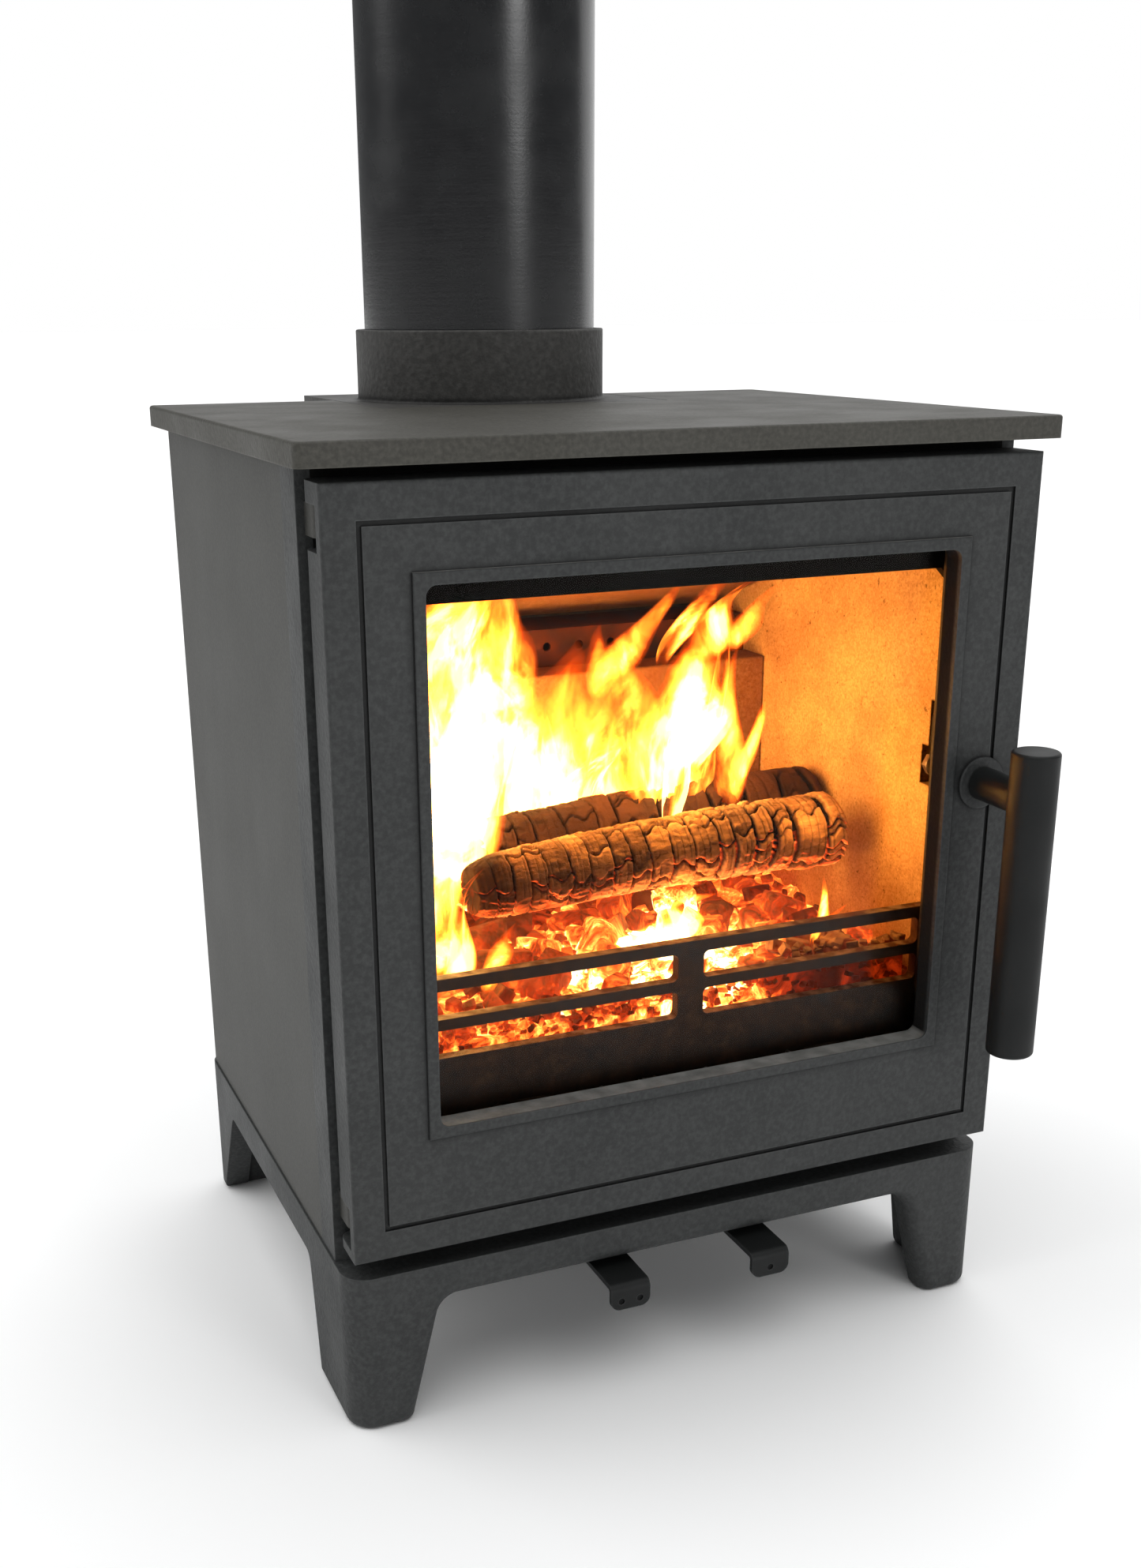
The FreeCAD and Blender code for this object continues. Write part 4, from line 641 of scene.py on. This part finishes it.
def round_path(low, high, inset, radius, step):
    """Points round a rectangle in the XZ plane with rounded corners, and the way out at each."""
    left, right = low.x + inset + radius, high.x - inset - radius
    bottom, top = low.z + inset + radius, high.z - inset - radius
    points, outward = [], []
    corners = ((right, bottom, -90), (right, top, 0), (left, top, 90), (left, bottom, 180))
    for index, (x, z, begin) in enumerate(corners):
        arc_steps = max(4, round(radius * math.pi / 2 / step))
        for k in range(arc_steps):
            angle = math.radians(begin + 90 * k / arc_steps)
            outward.append((math.cos(angle), math.sin(angle)))
            points.append((x + radius * math.cos(angle), z + radius * math.sin(angle)))
        next_x, next_z, _ = corners[(index + 1) % 4]
        run_x, run_z = next_x - x, next_z - z
        angle = math.radians(begin + 90)
        out_x, out_z = math.cos(angle), math.sin(angle)
        run_steps = max(1, round(math.hypot(run_x, run_z) / step))
        for k in range(run_steps):
            share = k / run_steps
            outward.append((out_x, out_z))
            points.append((x + run_x * share + radius * out_x, z + run_z * share + radius * out_z))
    return np.array(points), np.array(outward)


def add_door_rope(material):
    """The knitted fire rope in the door's channel."""
    low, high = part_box("door_rope")
    half_wide, half_deep = 3.8 * MM, (high.y - low.y) / 2
    points, outward = round_path(low, high, inset=4.0 * MM, radius=4.5 * MM, step=0.7 * MM)
    rings, around = len(points), 24
    along = np.arange(rings)[:, None] * (math.tau / rings)
    angle = np.linspace(0, math.tau, around, endpoint=False)[None, :]
    strands, stitches = 3, 270
    one_way = abs(np.sin(strands * angle + stitches * along))
    other_way = abs(np.sin(strands * angle - stitches * along))
    swell = 0.9 + 0.05 * (one_way + other_way)
    across = half_wide * np.cos(angle) * swell
    depth = half_deep * np.sin(angle) * swell
    x = points[:, 0, None] + outward[:, 0, None] * across
    y = (low.y + high.y) / 2 + depth
    z = points[:, 1, None] + outward[:, 1, None] * across
    verts = np.stack([x, y, z], -1).reshape(-1, 3)
    rope = add_piece("door_rope_knit", verts, tube_faces(rings, around, closed=True), material, "door")
    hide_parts("door_rope")


# -------- the fire

def crack_path(draw, turn, amount):
    """A wandering line round the log: how far it strays at each angle."""
    waves = (1, 2, 4, 7)
    sway = sum(draw.uniform(0.4, 1.0) / k * np.sin(k * turn + draw.uniform(0, ANY_ANGLE)) for k in waves)
    return amount * sway


def cross_cracks(draw, along, length, turn, spacing, wide):
    """Wavy cracks across a log, wider towards its far end: their strength, and each place's block row."""
    crack = np.zeros(along.shape)
    row = np.zeros(along.shape)
    place = spacing * 0.7
    number = 0
    while place < length - spacing * 0.3:
        share = place / length
        away = along - place - crack_path(draw, turn, spacing * 0.11)
        open_at = 0.7 + 0.3 * np.sin(turn * draw.integers(1, 4) + draw.uniform(0, ANY_ANGLE))
        half = wide * (0.3 + 1.2 * smoothstep(0.3, 0.9, share)) * draw.uniform(0.5, 1.1) * open_at
        crack = np.maximum(crack, 1 - smoothstep(0.25 * half, half + 0.3 * MM, abs(away)))
        row = np.where(away > 0, number + 1, row)
        number += 1
        place += spacing * draw.uniform(0.65, 1.25) * (0.8 + 0.6 * share)
    return crack, row, number + 1


def cracked_skin(along, length, turn, spacing, wide, seed):
    """Cracks over a log's skin, across it and along each row of blocks, and a shade for each block."""
    draw = np.random.default_rng(seed)
    crack, row, row_count = cross_cracks(draw, along, length, turn, spacing, wide)
    block = np.zeros(along.shape)
    for index in range(row_count):
        here = row == index
        cuts = np.sort(draw.uniform(0, math.tau, draw.integers(5, 9)))
        shades = draw.uniform(0, 1, len(cuts) + 1)
        bent = (turn + 0.12 * np.sin(along * 520 + index)) % math.tau
        for cut in cuts:
            gap = abs((bent - cut + math.pi) % math.tau - math.pi)
            line = (1 - smoothstep(0.01, 0.07, gap)) * draw.uniform(0.3, 0.9)
            crack = np.where(here, np.maximum(crack, line), crack)
        block = np.where(here, shades[np.searchsorted(cuts, bent)], block)
    return crack, block


def log_axis(node, left_radius, right_radius, comes_forward):
    """The two end centres of a CAD log that rises to the right and runs a little back or forward."""
    low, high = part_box(node)
    start = Vector((low.x, low.y + left_radius, low.z + left_radius))
    end = Vector((high.x, high.y - right_radius, high.z - right_radius))
    if comes_forward:
        start.y, end.y = high.y - left_radius, low.y + right_radius
    return start, end


def add_log(name, left_radius, right_radius, comes_forward, spacing, wide, deep, material, seed):
    """A burning log: its skin split into charcoal blocks by deep cracks, with burnt, rounded ends."""
    start, end = log_axis(name, left_radius, right_radius, comes_forward)
    rings, around = 330, 150
    length = (end - start).length
    t = np.linspace(0, 1, rings)[:, None] * np.ones((1, around))
    angle = np.ones((rings, 1)) * np.linspace(0, math.tau, around, endpoint=False)[None, :]
    radius = left_radius + (right_radius - left_radius) * t
    crack, block = cracked_skin(t * length, length, angle, spacing, wide, seed)
    fine, _ = cracked_skin(t * length, length, angle, spacing * 0.3, wide * 0.28, seed + 1)

    direction = (end - start).normalized()
    side = direction.cross(Vector((0, 0, 1))).normalized()
    top = side.cross(direction)
    bend = 3 * MM * np.sin(t * math.pi)
    centre = np.array(start) + t[..., None] * np.array(end - start) + bend[..., None] * np.array(top)
    outward = np.cos(angle)[..., None] * np.array(side) + np.sin(angle)[..., None] * np.array(top)
    round_skin = (centre + outward * radius[..., None]).reshape(-1, 3)
    lumps = fractal(round_skin + seed, 26).reshape(rings, around)
    stretched = round_skin * np.array([0.35, 1, 1])
    flakes = fractal(stretched + seed, 420, 4).reshape(rings, around)

    end_round = smoothstep(-0.09, 0.075, t) * smoothstep(-0.04, 0.025, 1 - t)
    pressed = radius * (0.93 + 0.04 * lumps + 0.05 * (block - 0.6)) * end_round ** 0.5
    reach = pressed - deep * crack - 0.6 * MM * fine + 0.5 * MM * flakes
    skin = (centre + outward * np.minimum(reach, radius)[..., None]).reshape(-1, 3)
    sunk = np.array(direction) * 1.5 * MM
    caps = [centre[0].mean(0) + sunk, centre[-1].mean(0) - sunk]
    burnt_end = 1 - smoothstep(0.03, 0.11, t + 0.05 * lumps)
    looks = {
        "log_crack": np.append(np.maximum(crack, 0.35 * fine).ravel(), [0.75, 0.4]),
        "log_block": np.append(block.ravel(), [0.1, 0.1]),
        "log_end": np.append(burnt_end.ravel(), [1.0, 0.3]),
    }
    piece = add_piece(name + "_burning", list(skin) + caps, tube_faces(rings, around), material,
                      attributes=looks)
    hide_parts(name)


def charred_wood(name, dark, pale, glow):
    """Burning wood: scorched block faces with a wrinkled grain, black cracks, red heat underneath."""
    s = Shader(name)
    crack, block, burnt = s.attribute("log_crack"), s.attribute("log_block"), s.attribute("log_end")
    grain = s.noise(170, detail=6, roughness=0.72, stretch=(0.28, 1, 1))
    scorch = s.noise(34, detail=4, roughness=0.6)
    char = s.plus(s.times(block, 0.3), s.times(s.plus(grain, scorch), 0.55))
    tone = s.blend(s.remap(char, 0.42, 0.82), dark, pale)
    tone = s.blend(s.remap(grain, 0.56, 0.66, 0, 0.5), tone, tuple(min(1, c * 1.5) for c in pale))
    tone = s.blend(s.remap(grain, 0.44, 0.36, 0, 0.7), tone, dark)
    tone = s.blend(s.remap(crack, 0.12, 0.6), tone, (0.01, 0.006, 0.004))
    tone = s.blend(s.times(burnt, 0.9), tone, (0.03, 0.014, 0.009))
    facing = s.facing()["Z"]
    beneath = s.remap(facing, -0.35, -0.85)
    hot_crack = s.times(s.remap(crack, 0.5, 1.0), s.remap(facing, 0.1, -0.4))
    heat = s.plus(s.times(beneath, s.remap(s.noise(75, detail=4), 0.35, 0.6, 0.15, 0.9)),
                  s.times(hot_crack, 0.5), clamp=True)
    colour = s.ramp(heat, (0.0, (0, 0, 0)), (0.25, (0.35, 0.03, 0.004)), (0.6, (1.0, 0.14, 0.02)),
                    (1.0, (1.0, 0.42, 0.1)))
    height = s.plus(s.times(grain, 1.2), s.noise(700, detail=4, roughness=0.7))
    normal = s.bump(height, 0.8 * MM)
    s.principled(tone, 0.9, specular=0.15, normal=normal, Emission_Color=colour, Emission_Strength=glow)
    s.material.cycles.emission_sampling = "NONE"
    return s.material


def chunk(draw, centre, size, flat):
    """One lump of charcoal: a broken block with jittered, chipped corners, longer one way."""
    corners = np.array([(i, j, k) for i in (-1, 1) for j in (-1, 1) for k in (-1, 1)], float)
    corners *= draw.uniform(0.6, 1.05, corners.shape)
    knobs = draw.normal(size=(5, 3))
    knobs /= np.linalg.norm(knobs, axis=1)[:, None]
    shape = np.array([1.0, draw.uniform(0.45, 0.8), flat])
    points = np.vstack([corners, knobs * 1.05]) * shape * size * 0.8
    turn = Matrix.Rotation(draw.uniform(0, ANY_ANGLE), 3, "Z")
    turn = turn @ Matrix.Rotation(draw.normal() * 0.4, 3, "X")
    turn = turn @ Matrix.Rotation(draw.normal() * 0.3, 3, "Y")
    lump = bmesh.new()
    for p in points:
        lump.verts.new(turn @ Vector(p) + Vector(centre))
    hull = bmesh.ops.convex_hull(lump, input=lump.verts)
    inside = set(hull["geom_interior"]) | set(hull["geom_unused"])
    bmesh.ops.delete(lump, geom=[v for v in inside if isinstance(v, bmesh.types.BMVert)], context="VERTS")
    bmesh.ops.bevel(lump, geom=list(lump.edges), offset=size * 0.05, segments=1, affect="EDGES")
    lump.normal_update()
    lump.verts.index_update()
    verts = [v.co.copy() for v in lump.verts]
    faces = [[v.index for v in f.verts] for f in lump.faces]
    lump.free()
    return verts, faces


def scatter(name, places, material, seed, body="stove_body"):
    """One piece of many lumps at (x, y, z, size, heat, ash) places."""
    draw = np.random.default_rng(seed)
    verts, faces, heat, ash, tint = [], [], [], [], []
    for x, y, z, size, hot, grey in places:
        new_verts, new_faces = chunk(draw, (x, y, z), size, draw.uniform(0.4, 0.75))
        faces += [[i + len(verts) for i in face] for face in new_faces]
        verts += new_verts
        heat += [hot * (1.3 - 0.7 * (v.z - z + size) / (2 * size)) for v in new_verts]
        ash += [grey] * len(new_verts)
        tint += [draw.uniform()] * len(new_verts)
    return add_piece(name, verts, faces, material, body, smooth=False,
                     attributes={"coal_heat": heat, "coal_ash": ash, "coal_tint": tint})


def glowing_coal():
    """Charcoal that runs from grey ash over black crust to white heat, by each lump's own heat."""
    s = Shader("glowing_coal")
    heat, ash, tint = s.attribute("coal_heat"), s.attribute("coal_ash"), s.attribute("coal_tint")
    crust = s.noise(150, detail=5, roughness=0.65)
    tone = s.blend(s.remap(crust, 0.35, 0.65), (0.02, 0.011, 0.008), (0.11, 0.05, 0.028))
    dust = s.times(ash, s.remap(s.noise(210, detail=4), 0.3, 0.6, 0.2, 1.0))
    tone = s.blend(dust, tone, (0.4, 0.3, 0.21))
    veins = s.noise(70, detail=5, roughness=0.7, distortion=0.8)
    fire = s.times(heat, s.remap(veins, 0.32, 0.66, 0.35, 1.3))
    fire = s.times(fire, s.remap(tint, 0, 1, 0.8, 1.1), clamp=True)
    colour = s.ramp(fire, (0.0, (0, 0, 0)), (0.2, (0.02, 0.001, 0.0)), (0.42, (0.17, 0.011, 0.001)),
                    (0.6, (0.5, 0.08, 0.008)), (0.8, (0.9, 0.36, 0.06)), (1.0, (1.0, 0.85, 0.5)))
    normal = s.bump(s.noise(480, detail=4, roughness=0.7), 0.6 * MM)
    s.principled(tone, 0.92, specular=0.15, normal=normal, Emission_Color=colour, Emission_Strength=4.0)
    s.material.cycles.emission_sampling = "NONE"
    return s.material


def bed_height(x, y, low, high):
    """The top of the ember heap: higher at the back, and banked against the fence on the right."""
    back = smoothstep(low.y, high.y, y)
    banked = 0.22 * ash_crumbs(x, y, low, high)
    return low.z + (high.z - low.z) * (0.64 + 0.3 * back + banked - 0.05 * smoothstep(0.05, 0.14, abs(x)))


def ash_crumbs(x, y, low, high):
    """Near 1 where cold ash crumbs lie: by the fence, on the right."""
    depth = (y - low.y) / (high.y - low.y)
    return (1 - smoothstep(0.12, 0.26, depth)) * smoothstep(0.04, 0.075, x)


def bed_heat(x, y, low, high):
    """How hot the heap is at a place: white in the middle, red round it, dull where crumbs lie."""
    depth = (y - low.y) / (high.y - low.y)
    middle = math.exp(-((x - 0.024) / 0.042) ** 2 - ((depth - 0.3) / 0.25) ** 2)
    return 0.57 + 0.85 * middle - 0.36 * ash_crumbs(x, y, low, high)


def add_ember_heap(material):
    """The rough glowing core of the ember bed, as one closed block with a lumpy top."""
    low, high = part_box("ember_bed")
    inset = 4 * MM
    cols, rows = 90, 54
    count = cols * rows
    xs = np.linspace(low.x + inset, high.x - inset, cols)
    ys = np.linspace(low.y + inset, high.y - inset, rows)
    top, heat = [], []
    for y in ys:
        for x in xs:
            lump = noise.fractal(Vector((x, y, 0.3)) * 60, 0.8, 2.1, 3)
            top.append((x, y, bed_height(x, y, low, high) - 6 * MM + 4 * MM * lump))
            heat.append(1.15 * bed_heat(x, y, low, high) + 0.12 * lump)
    under = [(x, y, low.z) for y in ys for x in xs]
    faces = []
    for j in range(rows - 1):
        for i in range(cols - 1):
            a = j * cols + i
            faces.append((a, a + 1, a + cols + 1, a + cols))
            faces.append((count + a, count + a + cols, count + a + cols + 1, count + a + 1))
    grid = np.arange(count).reshape(rows, cols)
    rim = np.concatenate([grid[0], grid[1:, -1], grid[-1, -2::-1], grid[-2:0:-1, 0]]).tolist()
    for first, second in zip(rim, rim[1:] + rim[:1]):
        faces.append((first, first + count, second + count, second))
    looks = {"coal_heat": heat * 2, "coal_ash": [0.15] * (2 * count), "coal_tint": [0.6] * (2 * count)}
    heap = add_piece("ember_heap", top + under, faces, material, attributes=looks)
    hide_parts("ember_bed")


def lying_coals(draw, low, high):
    """Places of the charcoal on the heap, from the largest lumps to the smallest bits."""
    places = []
    for size_low, size_high, number in ((14, 22, 58), (8, 13, 90), (3, 6, 320)):
        for _ in range(number):
            size = draw.uniform(size_low * MM, size_high * MM)
            x = draw.uniform(low.x + size, high.x - size)
            y = draw.uniform(low.y + size, high.y - size)
            z = bed_height(x, y, low, high) - 2 * MM + draw.uniform(-0.3, 0.35) * size
            z = min(z, high.z + 6 * MM - size * 0.8)
            crumbs = ash_crumbs(x, y, low, high)
            hot = bed_heat(x, y, low, high)
            hot *= draw.uniform(0.45 + 0.4 * smoothstep(0.7, 1.2, hot), 1.3)
            ash = np.clip(draw.normal() * 0.12 + 0.08 + 0.8 * crumbs, 0, 1)
            if crumbs > 0.6 and size > 12 * MM:
                size *= 0.4
            places.append((x, y, z, size, float(np.clip(hot, 0.02, 1.2)), float(ash)))
    return places


def crumbs_at_fence(draw, low, high):
    """Places of the small crumbs that fill the fence's slots."""
    places = []
    for _ in range(460):
        size = draw.uniform(2.2 * MM, 4.8 * MM)
        x = draw.uniform(low.x + size, high.x - size)
        y = low.y + size + draw.uniform(0.0, 6 * MM)
        z = draw.uniform(low.z + 20 * MM, bed_height(x, low.y, low, high) + 3 * MM)
        crumbs = ash_crumbs(x, y, low, high)
        hot = bed_heat(x, y, low, high) * draw.uniform(0.5 - 0.4 * crumbs, 1.25 - 0.35 * crumbs)
        ash = np.clip(draw.normal() * 0.2 + 0.1 + 0.7 * crumbs, 0, 1)
        places.append((x, y, z, size, float(hot), float(ash)))
    return places


def add_charcoal(material):
    """The charcoal on the heap and against the fence."""
    low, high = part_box("ember_bed")
    draw = np.random.default_rng(5)
    places = lying_coals(draw, low, high) + crumbs_at_fence(draw, low, high)
    coals = scatter("charcoal_lumps", places, material, seed=9)


FLAMES = (
    # in mm: x, depth behind the front plane, height of the foot, height, width, lean to the right;
    # then strength, and fullness: how far up the tongue stays wide
    (-104, 116, 204, 192, 64, 8, 1.5, 3.0),
    (-86, 104, 212, 184, 60, 6, 1.9, 4.0),
    (-70, 112, 218, 176, 58, 8, 2.0, 4.5),
    (-78, 96, 296, 98, 58, 6, 1.7, 5.0),
    (-50, 142, 226, 148, 58, 2, 1.9, 3.8),
    (-60, 152, 224, 138, 66, -4, 1.5, 3.2),
    (-22, 147, 228, 102, 54, 6, 1.8, 2.6),
    (-4, 149, 230, 84, 52, 6, 1.8, 2.4),
    (14, 149, 232, 66, 48, 6, 1.8, 2.2),
    (30, 151, 232, 52, 40, 4, 1.6, 1.9),
    (-12, 160, 230, 110, 78, 12, 0.6, 1.7),
    (14, 160, 232, 104, 70, 10, 0.6, 1.7),
    (48, 150, 234, 108, 54, -12, 1.0, 1.8),
    (50, 104, 240, 96, 34, 8, 2.2, 3.5),
    (57, 100, 272, 76, 38, 2, 2.6, 7.0),
    (44, 116, 240, 130, 40, 16, 1.1, 1.7),
    (70, 114, 244, 118, 36, 14, 0.8, 1.9),
    (84, 104, 246, 96, 22, -4, 0.8, 1.7),
    (93, 106, 258, 60, 13, 8, 0.9, 1.7),
    (12, 98, 326, 54, 26, 32, 0.7, 1.7),
    (38, 94, 334, 50, 32, 34, 0.8, 1.7),
    (64, 98, 332, 50, 28, 24, 0.9, 1.7),
    (84, 102, 336, 40, 20, 20, 0.7, 1.7),
    (4, 98, 316, 46, 22, -6, 0.6, 1.7),
    (-94, 152, 212, 158, 70, 4, 1.1, 2.5),
    (-52, 158, 218, 128, 66, -4, 1.0, 2.5),
    (-10, 160, 222, 96, 66, 6, 1.0, 2.2),
    (34, 158, 225, 106, 56, -6, 0.8, 1.9),
    (74, 156, 228, 98, 40, 6, 0.6, 1.7),
    (-94, 50, 190, 70, 26, 6, 1.0, 1.7),
    (-80, 44, 188, 44, 18, 10, 0.8, 1.7),
    (-102, 62, 192, 100, 32, 6, 1.2, 1.7),
    (112, 44, 190, 44, 9, -12, 0.9, 1.7),
    (102, 38, 188, 30, 8, 6, 0.7, 1.7),
    (18, 58, 188, 30, 44, 6, 2.2, 3.0),
    (36, 66, 192, 32, 46, 4, 2.0, 2.6),
)


def flame_skin(material, number, x, y, foot, height, width, lean, strength, fullness):
    """One tongue of flame: a flattened, swaying, tapering body that is pointed at the top."""
    draw = np.random.default_rng(100 + number)
    rings, around = 44, 20
    sway_at = draw.uniform(0, ANY_ANGLE, 3)
    turn = draw.uniform(-0.5, 0.5)
    verts, edge, along = [], [], []
    for k in range(rings):
        t = k / (rings - 1)
        girth = (0.42 + 0.58 * math.sin(min(t / 0.32, 1) * math.pi / 2)) * (1 - t ** fullness) ** 0.9
        girth *= 1 + 0.22 * math.sin(9 * t + sway_at[0]) * t
        half = max(width * 0.5 * girth, 0.4 * MM)
        drift = lean * t ** 1.4 + width * 0.24 * math.sin(5.2 * t + sway_at[1]) * t
        depth = width * 0.2 * math.sin(4.1 * t + sway_at[2]) * t - 0.02 * t * t
        twist = turn + 0.7 * math.sin(2.6 * t + sway_at[2])
        for i in range(around):
            a = math.tau * i / around
            across, thick = half * math.cos(a), half * 0.34 * math.sin(a)
            verts.append((x + drift + across * math.cos(twist) - thick * math.sin(twist),
                          y + depth + across * math.sin(twist) + thick * math.cos(twist),
                          foot + height * t))
            edge.append(math.cos(a))
            along.append(t)
    tip = np.mean(verts[-around:], axis=0)
    base = np.mean(verts[:around], axis=0)
    verts += [tuple(base), tuple(tip)]
    edge += [0, 0]
    along += [0, 1]
    looks = {"flame_edge": edge, "flame_rise": along, "flame_power": [strength] * len(verts)}
    piece = add_piece("flame_%02d" % number, verts, tube_faces(rings, around), material, attributes=looks)


def flame_light():
    """Burning gas: light added over what is behind it, torn into rising streaks, red at its thin edges."""
    s = Shader("burning_gas")
    edge, rise, power = s.attribute("flame_edge"), s.attribute("flame_rise"), s.attribute("flame_power")
    body = s.math("SUBTRACT", 1.0, s.times(edge, edge))
    foot = s.remap(rise, 0.0, 0.14)
    tip = s.remap(rise, 0.45, 1.0, 1, 0)
    streaks = s.noise(46, detail=4, roughness=0.55, distortion=1.6, stretch=(1, 1, 0.34))
    folds = s.noise(17, detail=3, roughness=0.5, distortion=2.4, stretch=(1, 1, 0.6))
    torn = s.times(s.remap(streaks, 0.3, 0.7, 0.4, 1.25), s.remap(folds, 0.36, 0.6, 0.3, 1.3))
    level = s.times(s.times(body, foot), s.times(tip, torn))
    level = s.times(level, power, clamp=True)
    colour = s.ramp(level, (0.0, (0, 0, 0)), (0.16, (0.1, 0.008, 0.0)), (0.4, (0.62, 0.13, 0.008)),
                    (0.68, (1.0, 0.42, 0.04)), (1.0, (1.0, 0.78, 0.26)))
    shine = s.node("ShaderNodeEmission")
    s.feed(shine.inputs["Color"], colour)
    shine.inputs["Strength"].default_value = 2.6
    clear = s.node("ShaderNodeBsdfTransparent")
    both = s.node("ShaderNodeAddShader")
    s.feed(both.inputs[0], clear.outputs[0])
    s.feed(both.inputs[1], shine.outputs[0])
    s.feed(s.output.inputs["Surface"], both.outputs[0])
    s.material.cycles.emission_sampling = "NONE"
    return s.material


def add_flames():
    """The tongues of flame round and behind the logs."""
    material = flame_light()
    for number, (*lengths, strength, fullness) in enumerate(FLAMES):
        x, depth, *shape = [length * MM for length in lengths]
        flame_skin(material, number, x, FRONT_PLANE + depth, *shape, strength, fullness)


def loose_ash():
    """Cold ash flakes: grey, chalky, with burnt specks."""
    s = Shader("loose_ash")
    tint = s.attribute("coal_tint")
    tone = s.blend(tint, (0.16, 0.12, 0.09), (0.42, 0.37, 0.31))
    tone = s.blend(s.remap(s.noise(700, detail=4), 0.5, 0.65, 0, 0.8), tone, (0.05, 0.035, 0.028))
    s.principled(tone, 0.95, specular=0.1, normal=s.bump(s.noise(1200, detail=3), 0.2 * MM))
    return s.material


def add_ash_flakes():
    """Ash flakes that have fallen into the door's glass recess, between the glass and the fence."""
    low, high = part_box("glass_pane")
    floor = low.z - 1.0 * MM
    drifts = ((-60, 22, 16), (-8, 30, 12), (62, 30, 8), (112, 6, 3))
    draw = np.random.default_rng(21)
    places = []
    for middle, spread, number in drifts:
        for _ in range(number):
            size = draw.uniform(0.9, 2.6) * MM
            x = float(np.clip(draw.normal(middle * MM, spread * MM), -120 * MM, 120 * MM))
            y = high.y + draw.uniform(5.0, 7.2) * MM
            z = floor + size * draw.uniform(0.6, 1.4)
            places.append((x, y, z, size, 0.0, 1.0))
    flakes = scatter("ash_flakes", places, loose_ash(), 23, body="door")


FIRE_LAMPS = (
    # name; x, depth behind the front plane, height and size in mm; watts; colour
    ("flame_lamp", 20, 75, 300, 45, 0.66, (1.0, 0.43, 0.075)),
    ("front_lamp", -30, 35, 335, 20, 0.14, (1.0, 0.42, 0.1)),
    ("right_lamp", 105, 42, 262, 20, 0.09, (1.0, 0.4, 0.075)),
    ("ember_lamp", 30, 45, 214, 10, 0.1, (1.0, 0.3, 0.05)),
)


def add_fire_lamps():
    """Warm lamps inside the firebox that stand for the light of the flames and embers."""
    for name, x, depth, height, size, power, colour in FIRE_LAMPS:
        data = bpy.data.lights.new(name, "POINT")
        data.energy = power
        data.shadow_soft_size = size * MM
        data.color = colour
        lamp = add_object(name, data)
        lamp.location = (x * MM, FRONT_PLANE + depth * MM, height * MM)
        lamp.visible_camera = lamp.visible_transmission = lamp.visible_glossy = False


def add_fire():
    """Logs, embers, flames and their light."""
    front_char = charred_wood("front_log_char", (0.1, 0.052, 0.028), (0.62, 0.38, 0.22), 1.8)
    rear_char = charred_wood("rear_log_char", (0.022, 0.012, 0.009), (0.08, 0.038, 0.024), 0.5)
    add_log("log_front", 17 * MM, 22 * MM, comes_forward=False, spacing=12.5 * MM, wide=2.2 * MM,
            deep=4.2 * MM, material=front_char, seed=3)
    add_log("log_rear", 22 * MM, 23 * MM, comes_forward=True, spacing=18 * MM, wide=2 * MM,
            deep=4 * MM, material=rear_char, seed=8)
    coal = glowing_coal()
    add_ember_heap(coal)
    add_charcoal(coal)
    add_ash_flakes()
    add_flames()
    add_fire_lamps()


def set_render_details():
    """Plain colours, enough clear surfaces behind each other for the flames, and no caustics."""
    scene = bpy.context.scene
    scene.view_settings.view_transform = "Standard"
    scene.cycles.transparent_max_bounces = 48
    scene.cycles.caustics_refractive = False
    scene.cycles.caustics_reflective = False


add_camera()
add_surround()
add_suns()
add_floor()
dress_nodes()
add_door_rope(NODES["door_rope"].data.materials[0])
add_fire()
set_render_details()
